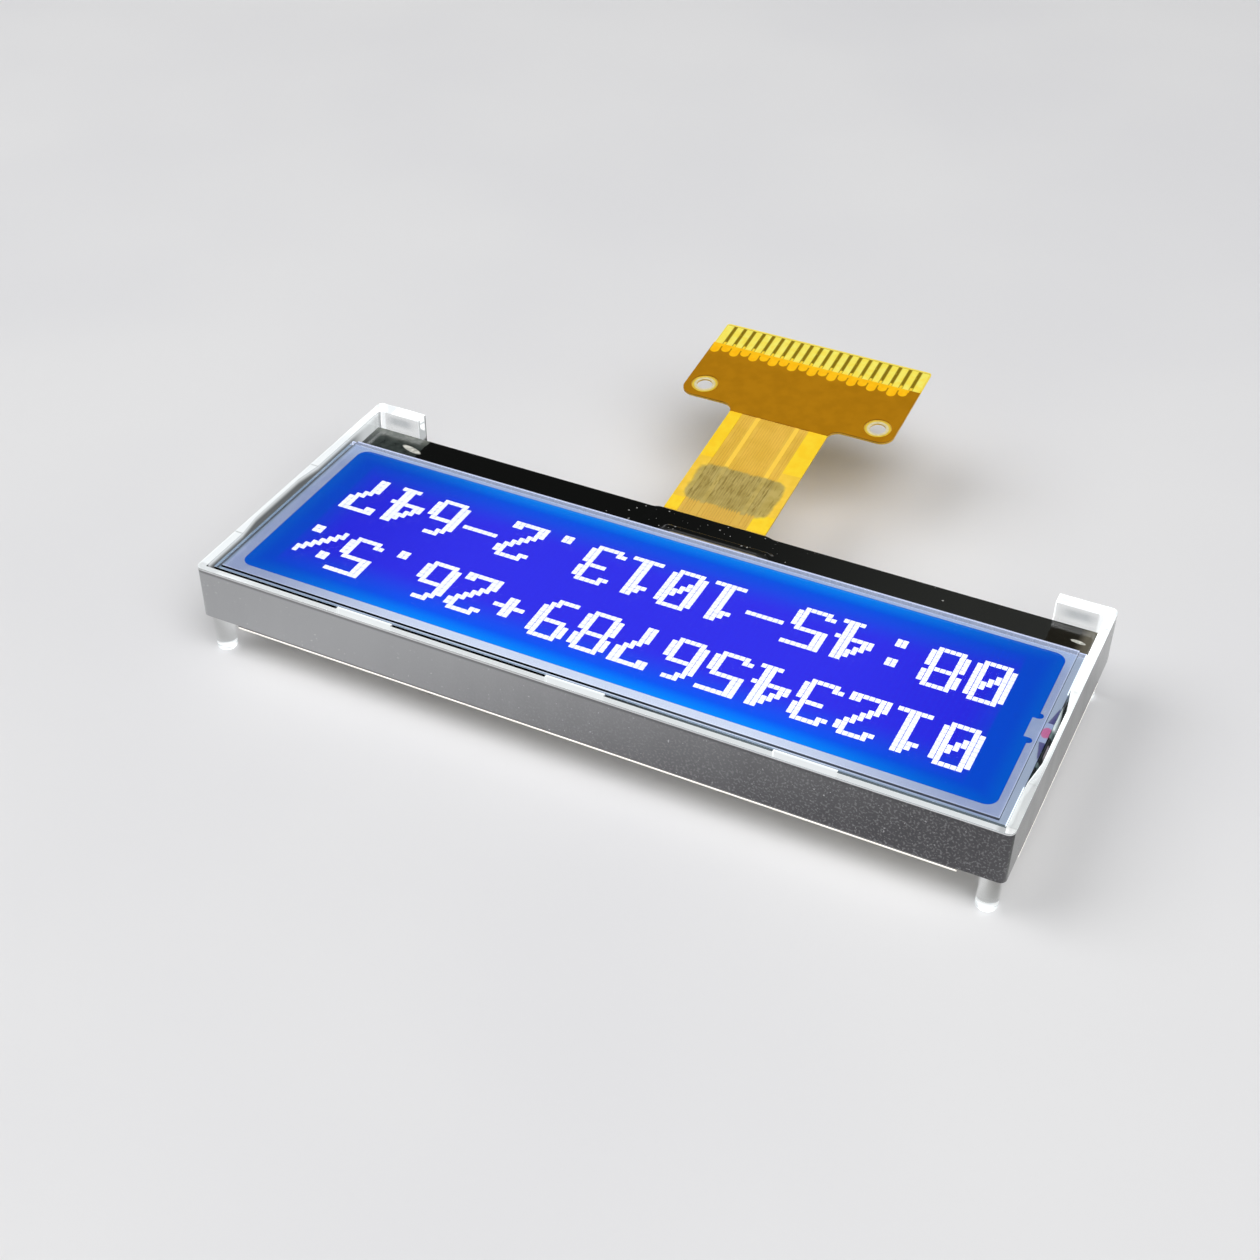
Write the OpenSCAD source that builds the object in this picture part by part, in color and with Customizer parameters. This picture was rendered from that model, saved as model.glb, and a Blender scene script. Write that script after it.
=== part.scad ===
// Graphic liquid crystal display module: a bonded glass cell in a clear side-lit frame with legs,
// and a flexible tail with solder contacts. All sizes are in millimetres.
// The display reads along +X, its upper edge is towards +Y, and +Z points at the viewer.
// The origin is the centre of the four legs, on the underside of the clear frame.

/* [Clear frame] */
// Length of the frame along the reading direction
frame_l = 56.4; // [50:0.1:66]
// Width of the frame
frame_w = 23.1; // [22.4:0.1:30]
// Thickness of the light guiding plate
plate_t = 1.85; // [1.6:0.05:3]
// How far the rim stands above the front polariser
rim_proud = 0.2; // [0.05:0.05:0.8]
// Wall thickness on the two short sides
side_wall = 0.6; // [0.5:0.05:1]
// Wall thickness along the upper long side
top_wall = 0.4; // [0.3:0.05:0.8]
// Radius of the outer corners
corner_r = 0.45; // [0.3:0.05:0.9]
// Length of each hook at the tail side
hook_l = 3.95; // [3.2:0.05:6]
// Thickness of each hook
hook_t = 1; // [0.7:0.05:1.5]
// Radius inside each hook
hook_fillet_r = 0.4; // [0.1:0.05:0.5]
// Length of a locating tab on the long wall
tab_l = 4.1; // [2:0.1:6]
// How far a locating tab stands out of the long wall
tab_t = 0.25; // [0.1:0.05:0.4]
// Distance between locating tabs
tab_pitch = 15.3; // [8:0.1:18]
// Length of the relief in each short wall
relief_l = 9.2; // [8:0.1:12]
// Depth of that relief
relief_t = 0.3; // [0.1:0.05:0.35]
// Length of the ramp at each end of the relief
relief_ramp = 2; // [0.5:0.1:3]
// Place of the relief along Y
relief_y = 2.4; // [0:0.1:4]

/* [Legs] */
// Diameter of a leg
leg_d = 1.4; // [1:0.1:1.8]
// Length of a leg below the frame
leg_l = 3; // [2:0.1:5]
// Radius round the tip of a leg
leg_tip_r = 0.3; // [0.1:0.05:0.3]
// Leg centre to the short outer face
leg_inset_x = 1; // [0.9:0.05:2]
// Leg centre to the long outer face
leg_inset_y = 0.85; // [0.75:0.05:2]

/* [Lamps] */
// Depth of the lamp pocket from the tail-side face
pocket_w = 4.2; // [4:0.1:4.8]
// Gap between each end of the lamp board and the pocket
board_end_gap = 1.25; // [0.3:0.05:3]
// Width of the lamp board
board_w = 2.4; // [2:0.1:2.6]
// Thickness of the lamp board
board_t = 0.4; // [0.2:0.05:0.5]
// Length of a lamp
led_l = 3; // [2:0.1:4]
// Depth of a lamp
led_w = 1; // [0.6:0.05:1.2]
// Height of a lamp above the board
led_h = 0.9; // [0.6:0.05:1]
// Number of lamps
led_count = 3; // [1:1:5]
// Distance between lamps
led_pitch = 15; // [5:0.5:15]
// Gap between a lamp and the edge of the plate
led_gap = 0.1; // [0.05:0.05:0.3]
// Thickness of the lit window of a lamp
window_t = 0.05; // [0.02:0.01:0.1]
// Width of a backlight lead
lead_w = 0.8; // [0.4:0.1:1]
// Thickness of a backlight lead
lead_t = 0.15; // [0.1:0.01:0.18]

/* [Films] */
// Thickness of the white reflector under the plate
reflector_t = 0.22; // [0.08:0.01:0.3]
// Clearance of the reflector round each leg
reflector_clear = 1.2; // [0.2:0.05:2]
// Thickness of the diffuser
diffuser_t = 0.1; // [0.05:0.01:0.2]
// Thickness of each polariser
polariser_t = 0.2; // [0.1:0.01:0.3]
// Width of the adhesive strips at the short sides
strip_w = 0.7; // [0.5:0.05:1]
// Thickness of the shield tape over the lamps
led_tape_t = 0.08; // [0.04:0.01:0.12]
// Lap of the shield tape on the plate
led_tape_lap = 0.6; // [0.3:0.05:0.8]

/* [Glass cell] */
// Thickness of each glass
glass_t = 0.7; // [0.5:0.05:1.1]
// Gap between the glasses
cell_gap = 0.05; // [0.03:0.01:0.1]
// Free depth of the ledge beyond the front glass
ledge_w = 3.45; // [3.2:0.05:5]
// Clearance between the glass and the short walls
cell_clear = 0.1; // [0.05:0.01:0.2]
// Clearance between the glass and the locating tabs
tab_clear = 0.35; // [0.02:0.01:0.4]
// Clearance between the ledge and the hooks
hook_clear = 0.45; // [0.42:0.01:0.8]
// Bare glass at the short sides of the front polariser
polariser_inset = 0.5; // [0.2:0.05:0.8]
// Bare glass at the upper side of the front polariser
polariser_inset_top = 0.2; // [0.1:0.05:0.8]
// Bare glass at the ledge end of the front polariser
polariser_inset_ledge = 0.1; // [0:0.05:0.3]
// Border at the short sides of the blue field
border_side = 1.1; // [0.9:0.05:2]
// Border at the upper side of the blue field
border_top = 1.42; // [1:0.01:2.2]
// Border at the ledge side of the blue field
border_ledge = 0.38; // [0.25:0.01:0.6]
// Bare glass edge outside the seal
seal_inset = 0.1; // [0.05:0.01:0.2]
// Corner radius of the blue field
field_r = 0.8; // [0.3:0.1:1.5]
// Length of the end seal bead on the fill port
bead_l = 7.3; // [5:0.1:8]
// Height of the end seal bead off the glass edge
bead_h = 0.3; // [0.15:0.05:0.35]
// Place of the fill port from the middle of the relief
port_shift = -1; // [-1.5:0.1:1.5]
// Width of the fill port
port_w = 1.9; // [1:0.1:3]
// How far the fill port reaches into the blue field
port_in = 0.35; // [0.2:0.05:0.6]
// Radius of the notch beside the fill port
port_notch_r = 0.28; // [0.1:0.02:0.4]

/* [Dots] */
// Free blue field at each end of the rows of dots
matrix_margin_x = 2.08; // [0.5:0.02:4]
// Free blue field above and below the dots
matrix_margin_y = 1.14; // [0.4:0.02:3]
// Place of the middle of the dots along X
matrix_x = 0.22; // [-0.5:0.02:0.5]
// Gap between dots
dot_gap = 0.03; // [0.01:0.005:0.06]
// Share of the cell gap that the lit dots take
dot_layer = 0.4; // [0.2:0.1:0.6]

/* [Driver and ledge] */
// Length of the driver die
die_l = 7.4; // [5:0.1:12]
// Width of the driver die
die_w = 0.9; // [0.6:0.05:1]
// Thickness of the driver die
die_t = 0.4; // [0.2:0.05:0.45]
// Gap between the front glass and the die
die_gap = 0.2; // [0.1:0.05:0.4]
// Place of the die along X
die_x = -1.2; // [-4:0.1:4]
// Width of the bond between the ledge and the tail
bond_w = 1.5; // [1:0.1:1.6]
// Thickness of the conductive bond
bond_t = 0.03; // [0.02:0.01:0.05]
// Thickness of the black ledge cover
ledge_cover_t = 0.12; // [0.06:0.01:0.2]
// Strip of the die that the ledge cover leaves bare
die_bare = 0.15; // [0.05:0.05:0.3]
// Bare glass outside the ledge cover at the edge of the ledge
cover_margin = 0.1; // [0.03:0.01:0.2]
// Lap of the ledge cover beyond what it steps over
cover_lap = 0.35; // [0.2:0.05:0.5]

/* [Tail] */
// Rise of the tail in degrees
tail_lift = 7.5; // [0:0.5:15]
// Width of the neck
neck_w = 7.76; // [6:0.02:9]
// Length of the neck from the ledge to the shoulders
neck_l = 12.3; // [9:0.1:20]
// Length of the head from the shoulders to the contact edge
head_l = 9.2; // [7.5:0.1:14]
// Radius of the head's shoulder corners
shoulder_r = 1; // [0.3:0.1:1.2]
// Radius of the corners at the contact edge
edge_r = 0.25; // [0.1:0.05:0.4]
// Radius between the neck and the head
neck_fillet_r = 0.85; // [0.3:0.05:1.2]
// Thickness of the tail film
film_t = 0.1; // [0.05:0.01:0.15]
// Thickness of the copper
copper_t = 0.04; // [0.02:0.01:0.06]
// Thickness of the cover layer on the head
head_cover_t = 0.06; // [0.03:0.01:0.1]
// Lap of the cover layer onto the neck
head_cover_lap = 0.7; // [0.3:0.1:1.5]
// Number of contacts
contact_count = 20; // [16:1:24]
// Contact pitch
contact_pitch = 0.8; // [0.7:0.05:1]
// Width of a contact
contact_w = 0.58; // [0.4:0.02:0.6]
// Bare length of a contact
contact_l = 2.7; // [2:0.1:4]
// Length of the short contact ends under the cover
contact_tuck = 0.6; // [0.4:0.05:1]
// Extra length of every other contact end
contact_stagger = 0.3; // [0:0.05:0.5]
// Diameter of the plated lobe on a contact
lobe_d = 0.34; // [0.2:0.02:0.36]
// Place of the lobe on every other contact, as a share of the bare length
lobe_low = 0.2; // [0.1:0.05:0.4]
// Place of the lobe on the contacts between
lobe_high = 0.6; // [0.4:0.05:0.8]
// Diameter of a registration hole
hole_d = 1.2; // [0.8:0.1:1.4]
// Outer diameter of the ring round a hole
ring_d = 1.9; // [1.7:0.1:2]
// Hole centre to the side of the head
hole_inset_x = 1.45; // [1.2:0.05:1.6]
// Hole centre to the shoulder
hole_inset_v = 1.5; // [1.2:0.05:2.2]
// Clearance round what stands through a cover
cover_clear = 0.08; // [0.03:0.01:0.15]
// Length of the glue pad behind the neck
neck_pad_l = 4; // [2:0.1:6]
// Margin of the glue pad to the sides of the neck
neck_pad_margin = 0.55; // [0.3:0.05:1]
// Glue pad to the ledge
neck_pad_v = 1.4; // [0.8:0.1:3]
// Thickness of the glue pad
neck_pad_t = 0.15; // [0.05:0.01:0.3]
// Corner radius of the glue pad
neck_pad_r = 1.2; // [0.3:0.1:1.8]

/* [Tracks] */
// Width of the outer track on the +X side of the neck
track_wide_a = 1; // [0.5:0.05:1.2]
// Width of the outer track on the -X side of the neck
track_wide_b = 1.45; // [0.5:0.05:1.6]
// Width of the two single tracks
track_mid_w = 0.35; // [0.2:0.05:0.4]
// First single track to the +X side of the neck
track_mid_a = 2.15; // [1.9:0.05:2.4]
// Second single track to the -X side of the neck
track_mid_b = 2.15; // [1.9:0.05:2.4]
// Width of a fine track
track_fine_w = 0.08; // [0.05:0.01:0.1]
// Pitch of the fine tracks
track_fine_pitch = 0.2; // [0.16:0.02:0.4]
// Width of a fan-out track under the head's cover
track_fan_w = 0.12; // [0.08:0.02:0.2]

/* [Hidden] */
$fn = 48;
// Overlap that lets a cut pass through a face
eps = 0.5;
// Gap that keeps neighbouring films apart
film_gap = 0.05;

// Levels of the stack, from the underside of the frame upwards
z_diffuser = plate_t;
z_rear_polariser = z_diffuser + diffuser_t;
z_rear_glass = z_rear_polariser + polariser_t;
z_ledge = z_rear_glass + glass_t;
z_front_glass = z_ledge + cell_gap;
z_front_polariser = z_front_glass + glass_t;
frame_h = z_front_polariser + polariser_t + rim_proud;

// Places along X and Y
x_out = frame_l / 2;
y_out = frame_w / 2;
x_cell = x_out - side_wall - cell_clear;
y_cell_top = y_out - top_wall - tab_t - tab_clear;
y_ledge = -y_out + hook_t + hook_clear;
y_front = y_ledge + ledge_w;
y_die = y_front - die_gap;
x_leg = x_out - leg_inset_x;
y_leg = y_out - leg_inset_y;
y_pocket = -y_out + pocket_w;
x_strip = x_cell - film_gap - strip_w;
x_diffuser = x_strip - film_gap;
x_polariser = x_cell - polariser_inset;
y_diffuser = y_pocket + led_tape_lap + film_gap;

// The blue field and its dots
x_field = x_cell - border_side;
y_field_top = y_cell_top - border_top;
y_field_low = y_front + border_ledge;
y_field = (y_field_top + y_field_low) / 2;
port_y = relief_y + port_shift;
bead_r = bead_l * bead_l / (8 * bead_h) + bead_h / 2;
cell_cols = 8;
cell_rows = 16;
row_chars = 16;
glyph_top = 2;
dot_cols = cell_cols * row_chars;
MESSAGE = ["0123456789+26.5%", "08:45-1013.2-647"];
dot_rows = cell_rows * len(MESSAGE);
dot_pitch_x = 2 * (x_field - matrix_margin_x) / dot_cols;
dot_pitch_y = (y_field_top - y_field_low - 2 * matrix_margin_y) / dot_rows;

// The lamps
x_pocket = x_out - hook_l;
x_board = x_pocket - board_end_gap;
y_board = y_pocket - led_gap - window_t;
y_lead = y_ledge - film_gap;
x_lead = neck_w / 2 - lead_w;

// The tail in its own plane: x to the side, v along the film from the ledge
head_w = contact_pitch * (contact_count + 1);
tail_l = neck_l + head_l;
z_tail = z_ledge + bond_t;
v_cover = neck_l - head_cover_lap;
v_contact = tail_l - contact_l;
x_hole = head_w / 2 - hole_inset_x;
v_hole = neck_l + hole_inset_v;
x_mid_a = track_mid_a - neck_w / 2;
x_mid_b = neck_w / 2 - track_mid_b - track_mid_w;
// Bare film between the fold at the ledge and the copper
v_fold = 0.05;

// Characters as rows of dots, drawn on a grid of seven by ten
GLYPHS = [
    ["0", [".#####.", "##...##", "##...##", "##..###", "##.####",
           "####.##", "###..##", "##...##", "##...##", ".#####."]],
    ["1", ["...##..", "..###..", ".####..", "...##..", "...##..",
           "...##..", "...##..", "...##..", "...##..", ".######"]],
    ["2", [".#####.", "##...##", ".....##", "....##.", "...##..",
           "..##...", ".##....", "##.....", "##...##", "#######"]],
    ["3", [".#####.", "##...##", ".....##", ".....##", "..####.",
           ".....##", ".....##", ".....##", "##...##", ".#####."]],
    ["4", ["....##.", "...###.", "..####.", ".##.##.", "##..##.",
           "#######", "....##.", "....##.", "....##.", "...####"]],
    ["5", ["#######", "##.....", "##.....", "##.....", "######.",
           ".....##", ".....##", ".....##", "##...##", ".#####."]],
    ["6", ["..###..", ".##....", "##.....", "##.....", "######.",
           "##...##", "##...##", "##...##", "##...##", ".#####."]],
    ["7", ["#######", "##...##", ".....##", ".....##", "....##.",
           "...##..", "..##...", "..##...", "..##...", "..##..."]],
    ["8", [".#####.", "##...##", "##...##", "##...##", ".#####.",
           "##...##", "##...##", "##...##", "##...##", ".#####."]],
    ["9", [".#####.", "##...##", "##...##", "##...##", ".######",
           ".....##", ".....##", ".....##", "....##.", ".####.."]],
    [":", [".......", ".......", "...##..", "...##..", ".......",
           ".......", ".......", "...##..", "...##..", "......."]],
    ["+", [".......", ".......", "...##..", "...##..", ".######",
           "...##..", "...##..", ".......", ".......", "......."]],
    ["-", [".......", ".......", ".......", ".......", "#######",
           ".......", ".......", ".......", ".......", "......."]],
    [".", [".......", ".......", ".......", ".......", ".......",
           ".......", ".......", ".......", "...##..", "...##.."]],
    ["%", [".......", ".......", "##....#", "##...##", "....##.",
           "...##..", "..##...", ".##....", "##...##", "#....##"]]
];

function glyph(c) = GLYPHS[search([c], GLYPHS)[0]][1];
function lit(line, i) = i >= 0 && i < len(line) && line[i] == "#";
function run(line, i) = lit(line, i) ? 1 + run(line, i + 1) : 0;

// Rectangle with corners of radius r
module rounded(x0, y0, x1, y1, r) {
    translate([x0 + r, y0]) square([x1 - x0 - 2 * r, y1 - y0]);
    translate([x0, y0 + r]) square([x1 - x0, y1 - y0 - 2 * r]);
    for (x = [x0 + r, x1 - r], y = [y0 + r, y1 - r]) translate([x, y]) circle(r);
}

// Box between two corners
module box(a, b) {
    translate(a) cube(b - a);
}

module frame_outline() {
    rounded(-x_out, -y_out, x_out, y_out, corner_r);
}

// Relief in one short wall that leaves room for the end seal
module relief() {
    translate([x_out - side_wall, relief_y])
        polygon([[-eps, -relief_l / 2], [0, -relief_l / 2], [relief_t, relief_ramp - relief_l / 2],
            [relief_t, relief_l / 2 - relief_ramp], [0, relief_l / 2], [-eps, relief_l / 2]]);
}

module rim_outline() {
    x_in = x_out - side_wall;
    y_in = y_out - top_wall;
    y_hook = -y_out + hook_t;
    difference() {
        frame_outline();
        translate([-x_in, y_hook]) square([2 * x_in, y_in - y_hook]);
        translate([-x_pocket, -y_out - eps]) square([2 * x_pocket, hook_t + 2 * eps]);
        for (side = [0, 1]) mirror([side, 0]) relief();
    }
    for (side = [0, 1]) mirror([side, 0]) translate([x_in - hook_fillet_r, y_hook]) difference() {
        square(hook_fillet_r);
        translate([0, hook_fillet_r]) circle(hook_fillet_r);
    }
    for (i = [-1, 0, 1]) translate([i * tab_pitch - tab_l / 2, y_in - tab_t]) square([tab_l, tab_t]);
}

module leg() {
    leg_r = leg_d / 2;
    translate([0, 0, -leg_l]) rotate_extrude() {
        square([leg_r - leg_tip_r, leg_l]);
        translate([0, leg_tip_r]) square([leg_r, leg_l - leg_tip_r]);
        translate([leg_r - leg_tip_r, leg_tip_r]) circle(leg_tip_r);
    }
}

module light_guide() color([0.9, 0.94, 0.95, 0.4]) {
    linear_extrude(plate_t) difference() {
        frame_outline();
        translate([-x_pocket, -y_out - eps]) square([2 * x_pocket, pocket_w + eps]);
    }
    linear_extrude(frame_h) rim_outline();
    for (x = [-x_leg, x_leg], y = [-y_leg, y_leg]) translate([x, y, 0]) leg();
}

module reflector_film() color([0.97, 0.95, 0.9]) {
    notch = leg_d / 2 + reflector_clear;
    translate([0, 0, -reflector_t]) linear_extrude(reflector_t) difference() {
        translate([-x_out, -y_out]) square([frame_l, frame_w]);
        for (x = [-x_leg, x_leg], y = [-y_leg, y_leg])
            translate([x, y]) square(2 * notch, center = true);
    }
}

module led_board() color([0.93, 0.93, 0.9]) {
    box([-x_board, y_board - board_w, 0], [x_board, y_board, board_t]);
}

// Places of the lamps along the board
module each_led() {
    for (i = [0 : led_count - 1])
        translate([(i - (led_count - 1) / 2) * led_pitch, y_board, board_t]) children();
}

module led_packages() color([0.96, 0.96, 0.94]) {
    each_led() box([-led_l / 2, -led_w, 0], [led_l / 2, 0, led_h]);
}

module led_windows() color([0.98, 0.85, 0.35]) {
    wall = led_h / 5;
    each_led() box([wall - led_l / 2, 0, wall], [led_l / 2 - wall, window_t, led_h - wall]);
}

module backlight_leads() color([0.85, 0.85, 0.87]) {
    for (side = [0, 1]) mirror([side, 0, 0]) {
        box([x_lead, y_lead - lead_t, board_t], [x_lead + lead_w, y_board - board_w / 2, board_t + lead_t]);
        box([x_lead, y_lead - lead_t, board_t], [x_lead + lead_w, y_lead, z_ledge]);
    }
}

module led_tape() color([0.12, 0.12, 0.13]) {
    x_tape = x_pocket + led_tape_lap;
    box([-x_tape, y_ledge, plate_t], [x_tape, y_pocket + led_tape_lap, plate_t + led_tape_t]);
}

module diffuser_film() color([0.95, 0.95, 0.95]) {
    box([-x_diffuser, y_diffuser, z_diffuser], [x_diffuser, y_cell_top, z_rear_polariser]);
}

module adhesive_strips() color([0.9, 0.9, 0.85]) {
    for (side = [0, 1]) mirror([side, 0, 0])
        box([x_strip, y_diffuser, plate_t], [x_strip + strip_w, y_cell_top, z_rear_glass]);
}

module rear_polariser() color([0.35, 0.4, 0.5]) {
    box([-x_diffuser, y_diffuser, z_rear_polariser], [x_diffuser, y_cell_top - film_gap, z_rear_glass]);
}

module rear_glass() color([0.75, 0.87, 0.85, 0.5]) {
    box([-x_cell, y_ledge, z_rear_glass], [x_cell, y_cell_top, z_ledge]);
}

// Outline of the glue that closes the fill port on the -X side
module port_outline() {
    rounded(-x_cell, port_y - port_w / 2, port_in - x_field, port_y + port_w / 2, port_in / 2);
}

// Outline of the space between the glasses
module field_outline() {
    difference() {
        union() {
            rounded(-x_field, y_field_low, x_field, y_field_top, field_r);
            for (side = [-1, 1]) translate([-x_field, port_y + side * (port_w / 2 + port_notch_r)])
                circle(port_notch_r);
        }
        port_outline();
    }
}

module perimeter_seal() color([0.66, 0.67, 0.8]) {
    translate([0, 0, z_ledge]) linear_extrude(cell_gap) difference() {
        translate([seal_inset - x_cell, y_front + seal_inset])
            square([2 * (x_cell - seal_inset), y_cell_top - y_front - 2 * seal_inset]);
        field_outline();
        port_outline();
    }
}

module liquid_crystal() color([0.08, 0.25, 0.9]) {
    translate([0, 0, z_ledge]) linear_extrude(cell_gap * (1 - dot_layer)) field_outline();
}

// One bar for each unbroken run of lit dots in a line of a character
module lit_dots() color([0.97, 0.97, 1]) {
    dot_t = cell_gap * dot_layer;
    for (r = [0 : len(MESSAGE) - 1], k = [0 : row_chars - 1]) {
        lines = glyph(MESSAGE[r][k]);
        for (j = [0 : len(lines) - 1], i = [0 : cell_cols - 1])
            if (lit(lines[j], i) && !lit(lines[j], i - 1))
                translate([
                    matrix_x + (k * cell_cols + i - dot_cols / 2) * dot_pitch_x + dot_gap / 2,
                    y_field + (dot_rows / 2 - r * cell_rows - glyph_top - j - 1) * dot_pitch_y + dot_gap / 2,
                    z_front_glass - dot_t
                ]) cube([run(lines[j], i) * dot_pitch_x - dot_gap, dot_pitch_y - dot_gap, dot_t]);
    }
}

module end_seal() color([0.85, 0.9, 0.9, 0.6]) {
    bead_z = z_front_polariser - z_rear_glass;
    translate([-x_cell, relief_y, z_rear_glass]) linear_extrude(bead_z) intersection() {
        translate([bead_r - bead_h, 0]) circle(bead_r, $fn = 1440);
        translate([-bead_h - eps, -bead_l / 2]) square([bead_h + eps, bead_l]);
    }
    translate([0, 0, z_ledge]) linear_extrude(cell_gap) {
        port_outline();
        translate([-x_cell - bead_h / 4, port_y - port_w / 2 + port_in])
            square([bead_h / 2, port_w - 2 * port_in]);
    }
}

module front_glass() color([0.75, 0.87, 0.85, 0.5]) {
    box([-x_cell, y_front, z_front_glass], [x_cell, y_cell_top, z_front_polariser]);
}

module front_polariser() color([0.45, 0.5, 0.6, 0.4]) {
    box([-x_polariser, y_front + polariser_inset_ledge, z_front_polariser],
        [x_polariser, y_cell_top - polariser_inset_top, z_front_polariser + polariser_t]);
}

module driver_die() color([0.35, 0.28, 0.2]) {
    box([die_x - die_l / 2, y_die - die_w, z_tail], [die_x + die_l / 2, y_die, z_tail + die_t]);
}

module bond_films() color([0.6, 0.6, 0.55]) {
    box([die_x - die_l / 2, y_die - die_w, z_ledge], [die_x + die_l / 2, y_die, z_tail]);
    box([-neck_w / 2, y_ledge, z_ledge], [neck_w / 2, y_ledge + bond_w, z_tail]);
}

module ledge_cover() color([0.05, 0.05, 0.05]) {
    y_bare = y_die - die_bare;
    z_film = z_tail + film_t;
    z_die = z_tail + die_t;
    x_film = neck_w / 2 + cover_lap;
    x_die = die_l / 2 + cover_lap;
    y_edge = y_ledge + cover_margin;
    difference() {
        union() {
            box([-x_cell, y_edge, z_ledge], [x_cell, y_bare, z_ledge + ledge_cover_t]);
            box([-x_film, y_edge, z_ledge], [x_film, y_ledge + bond_w + cover_lap, z_film + ledge_cover_t]);
            box([die_x - x_die, y_die - die_w - cover_lap, z_ledge],
                [die_x + x_die, y_bare, z_die + ledge_cover_t]);
        }
        box([-neck_w / 2, y_ledge - eps, z_ledge - eps], [neck_w / 2, y_ledge + bond_w, z_film]);
        box([die_x - die_l / 2, y_die - die_w, z_ledge - eps], [die_x + die_l / 2, y_front, z_die]);
    }
}

// Lays a shape drawn in the plane of the tail onto the rising tail, h above its underside
module on_tail(h) {
    translate([0, y_ledge, z_tail])
        rotate([-tail_lift, 0, 0]) rotate([0, 0, 180]) translate([0, 0, h]) children();
}

module head_outline() {
    translate([-head_w / 2, neck_l + shoulder_r]) square([head_w, head_l - shoulder_r - edge_r]);
    translate([shoulder_r - head_w / 2, neck_l]) square([head_w - 2 * shoulder_r, shoulder_r]);
    translate([edge_r - head_w / 2, tail_l - edge_r]) square([head_w - 2 * edge_r, edge_r]);
    for (side = [-1, 1]) {
        translate([side * (head_w / 2 - shoulder_r), neck_l + shoulder_r]) circle(shoulder_r);
        translate([side * (head_w / 2 - edge_r), tail_l - edge_r]) circle(edge_r);
        translate([side * neck_w / 2, neck_l]) mirror([side < 0 ? 1 : 0, 0]) translate([0, -neck_fillet_r])
            difference() {
                square(neck_fillet_r);
                translate([neck_fillet_r, 0]) circle(neck_fillet_r);
            }
    }
}

module hole_pair(d) {
    for (side = [-1, 1]) translate([side * x_hole, v_hole]) circle(d = d);
}

module tail_film() color([0.88, 0.7, 0.3]) {
    on_tail(0) linear_extrude(film_t) difference() {
        union() {
            translate([-neck_w / 2, 0]) square([neck_w, neck_l]);
            head_outline();
        }
        hole_pair(hole_d);
    }
    box([-neck_w / 2, y_ledge, z_tail], [neck_w / 2, y_ledge + bond_w, z_tail + film_t]);
}

// Strip of copper along the neck, from x to x + w
module track(x, w) {
    translate([x, v_fold]) square([w, v_cover - v_fold]);
}

// Row of fine tracks that fills the neck between x0 and x1
module fine_tracks(x0, x1) {
    count = floor((x1 - x0) / track_fine_pitch) - 1;
    if (count > 0) for (i = [0 : count - 1])
        track((x0 + x1) / 2 + (i - (count - 1) / 2) * track_fine_pitch - track_fine_w / 2, track_fine_w);
}

function contact_x(i) = -head_w / 2 + (i + 0.5) * contact_pitch;
function contact_end(i) = v_contact - contact_tuck - (i % 2 == 0 ? contact_stagger : 0);

// Track under the head's cover from one contact towards the neck
module fan_track(i) {
    x_end = contact_x(i);
    x_neck = contact_x(i) * (neck_w - contact_pitch) / head_w;
    v_turn = contact_end(i) - contact_w;
    half = track_fan_w / 2;
    polygon([[x_end - half, contact_end(i)], [x_end - half, v_turn], [x_neck - half, neck_l],
        [x_neck - half, v_cover], [x_neck + half, v_cover], [x_neck + half, neck_l],
        [x_end + half, v_turn], [x_end + half, contact_end(i)]]);
}

module tail_traces() color([0.98, 0.78, 0.2]) {
    on_tail(film_t) linear_extrude(copper_t) {
        track(-neck_w / 2, track_wide_a);
        track(neck_w / 2 - track_wide_b, track_wide_b);
        track(x_mid_a, track_mid_w);
        track(x_mid_b, track_mid_w);
        fine_tracks(track_wide_a - neck_w / 2, x_mid_a);
        fine_tracks(x_mid_a + track_mid_w, x_mid_b);
        fine_tracks(x_mid_b + track_mid_w, neck_w / 2 - track_wide_b);
        difference() {
            for (i = [0 : contact_count - 1]) fan_track(i);
            hole_pair(ring_d + 2 * cover_clear);
        }
    }
}

module tail_contacts() color([0.97, 0.87, 0.4]) {
    on_tail(film_t) linear_extrude(copper_t) {
        for (i = [0 : contact_count - 1]) {
            round_v = contact_end(i) + contact_w / 2;
            lobe_v = v_contact + contact_l * (i % 2 == 0 ? lobe_low : lobe_high);
            translate([contact_x(i) - contact_w / 2, round_v]) square([contact_w, tail_l - edge_r - round_v]);
            translate([contact_x(i), round_v]) circle(d = contact_w);
            translate([contact_x(i) + contact_w / 2 - lobe_d / 4, lobe_v]) circle(d = lobe_d);
        }
        translate([contact_x(contact_count) - contact_w / 2, v_contact])
            square([contact_w, contact_l - edge_r]);
    }
}

module tail_cover() color([0.69, 0.48, 0.05]) {
    on_tail(film_t + copper_t) linear_extrude(head_cover_t) difference() {
        intersection() {
            union() {
                translate([-neck_w / 2, v_cover]) square([neck_w, neck_l - v_cover]);
                head_outline();
            }
            translate([-head_w, v_cover]) square([2 * head_w, v_contact - v_cover]);
        }
        hole_pair(ring_d + 2 * cover_clear);
    }
}

module hole_rings() color([0.95, 0.82, 0.35]) {
    on_tail(film_t) linear_extrude(copper_t) difference() {
        hole_pair(ring_d);
        hole_pair(hole_d);
    }
}

module neck_pad() color([0.45, 0.43, 0.28]) {
    x_pad = neck_w / 2 - neck_pad_margin;
    on_tail(-neck_pad_t) linear_extrude(neck_pad_t)
        rounded(-x_pad, neck_pad_v, x_pad, neck_pad_v + neck_pad_l, neck_pad_r);
}

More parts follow.
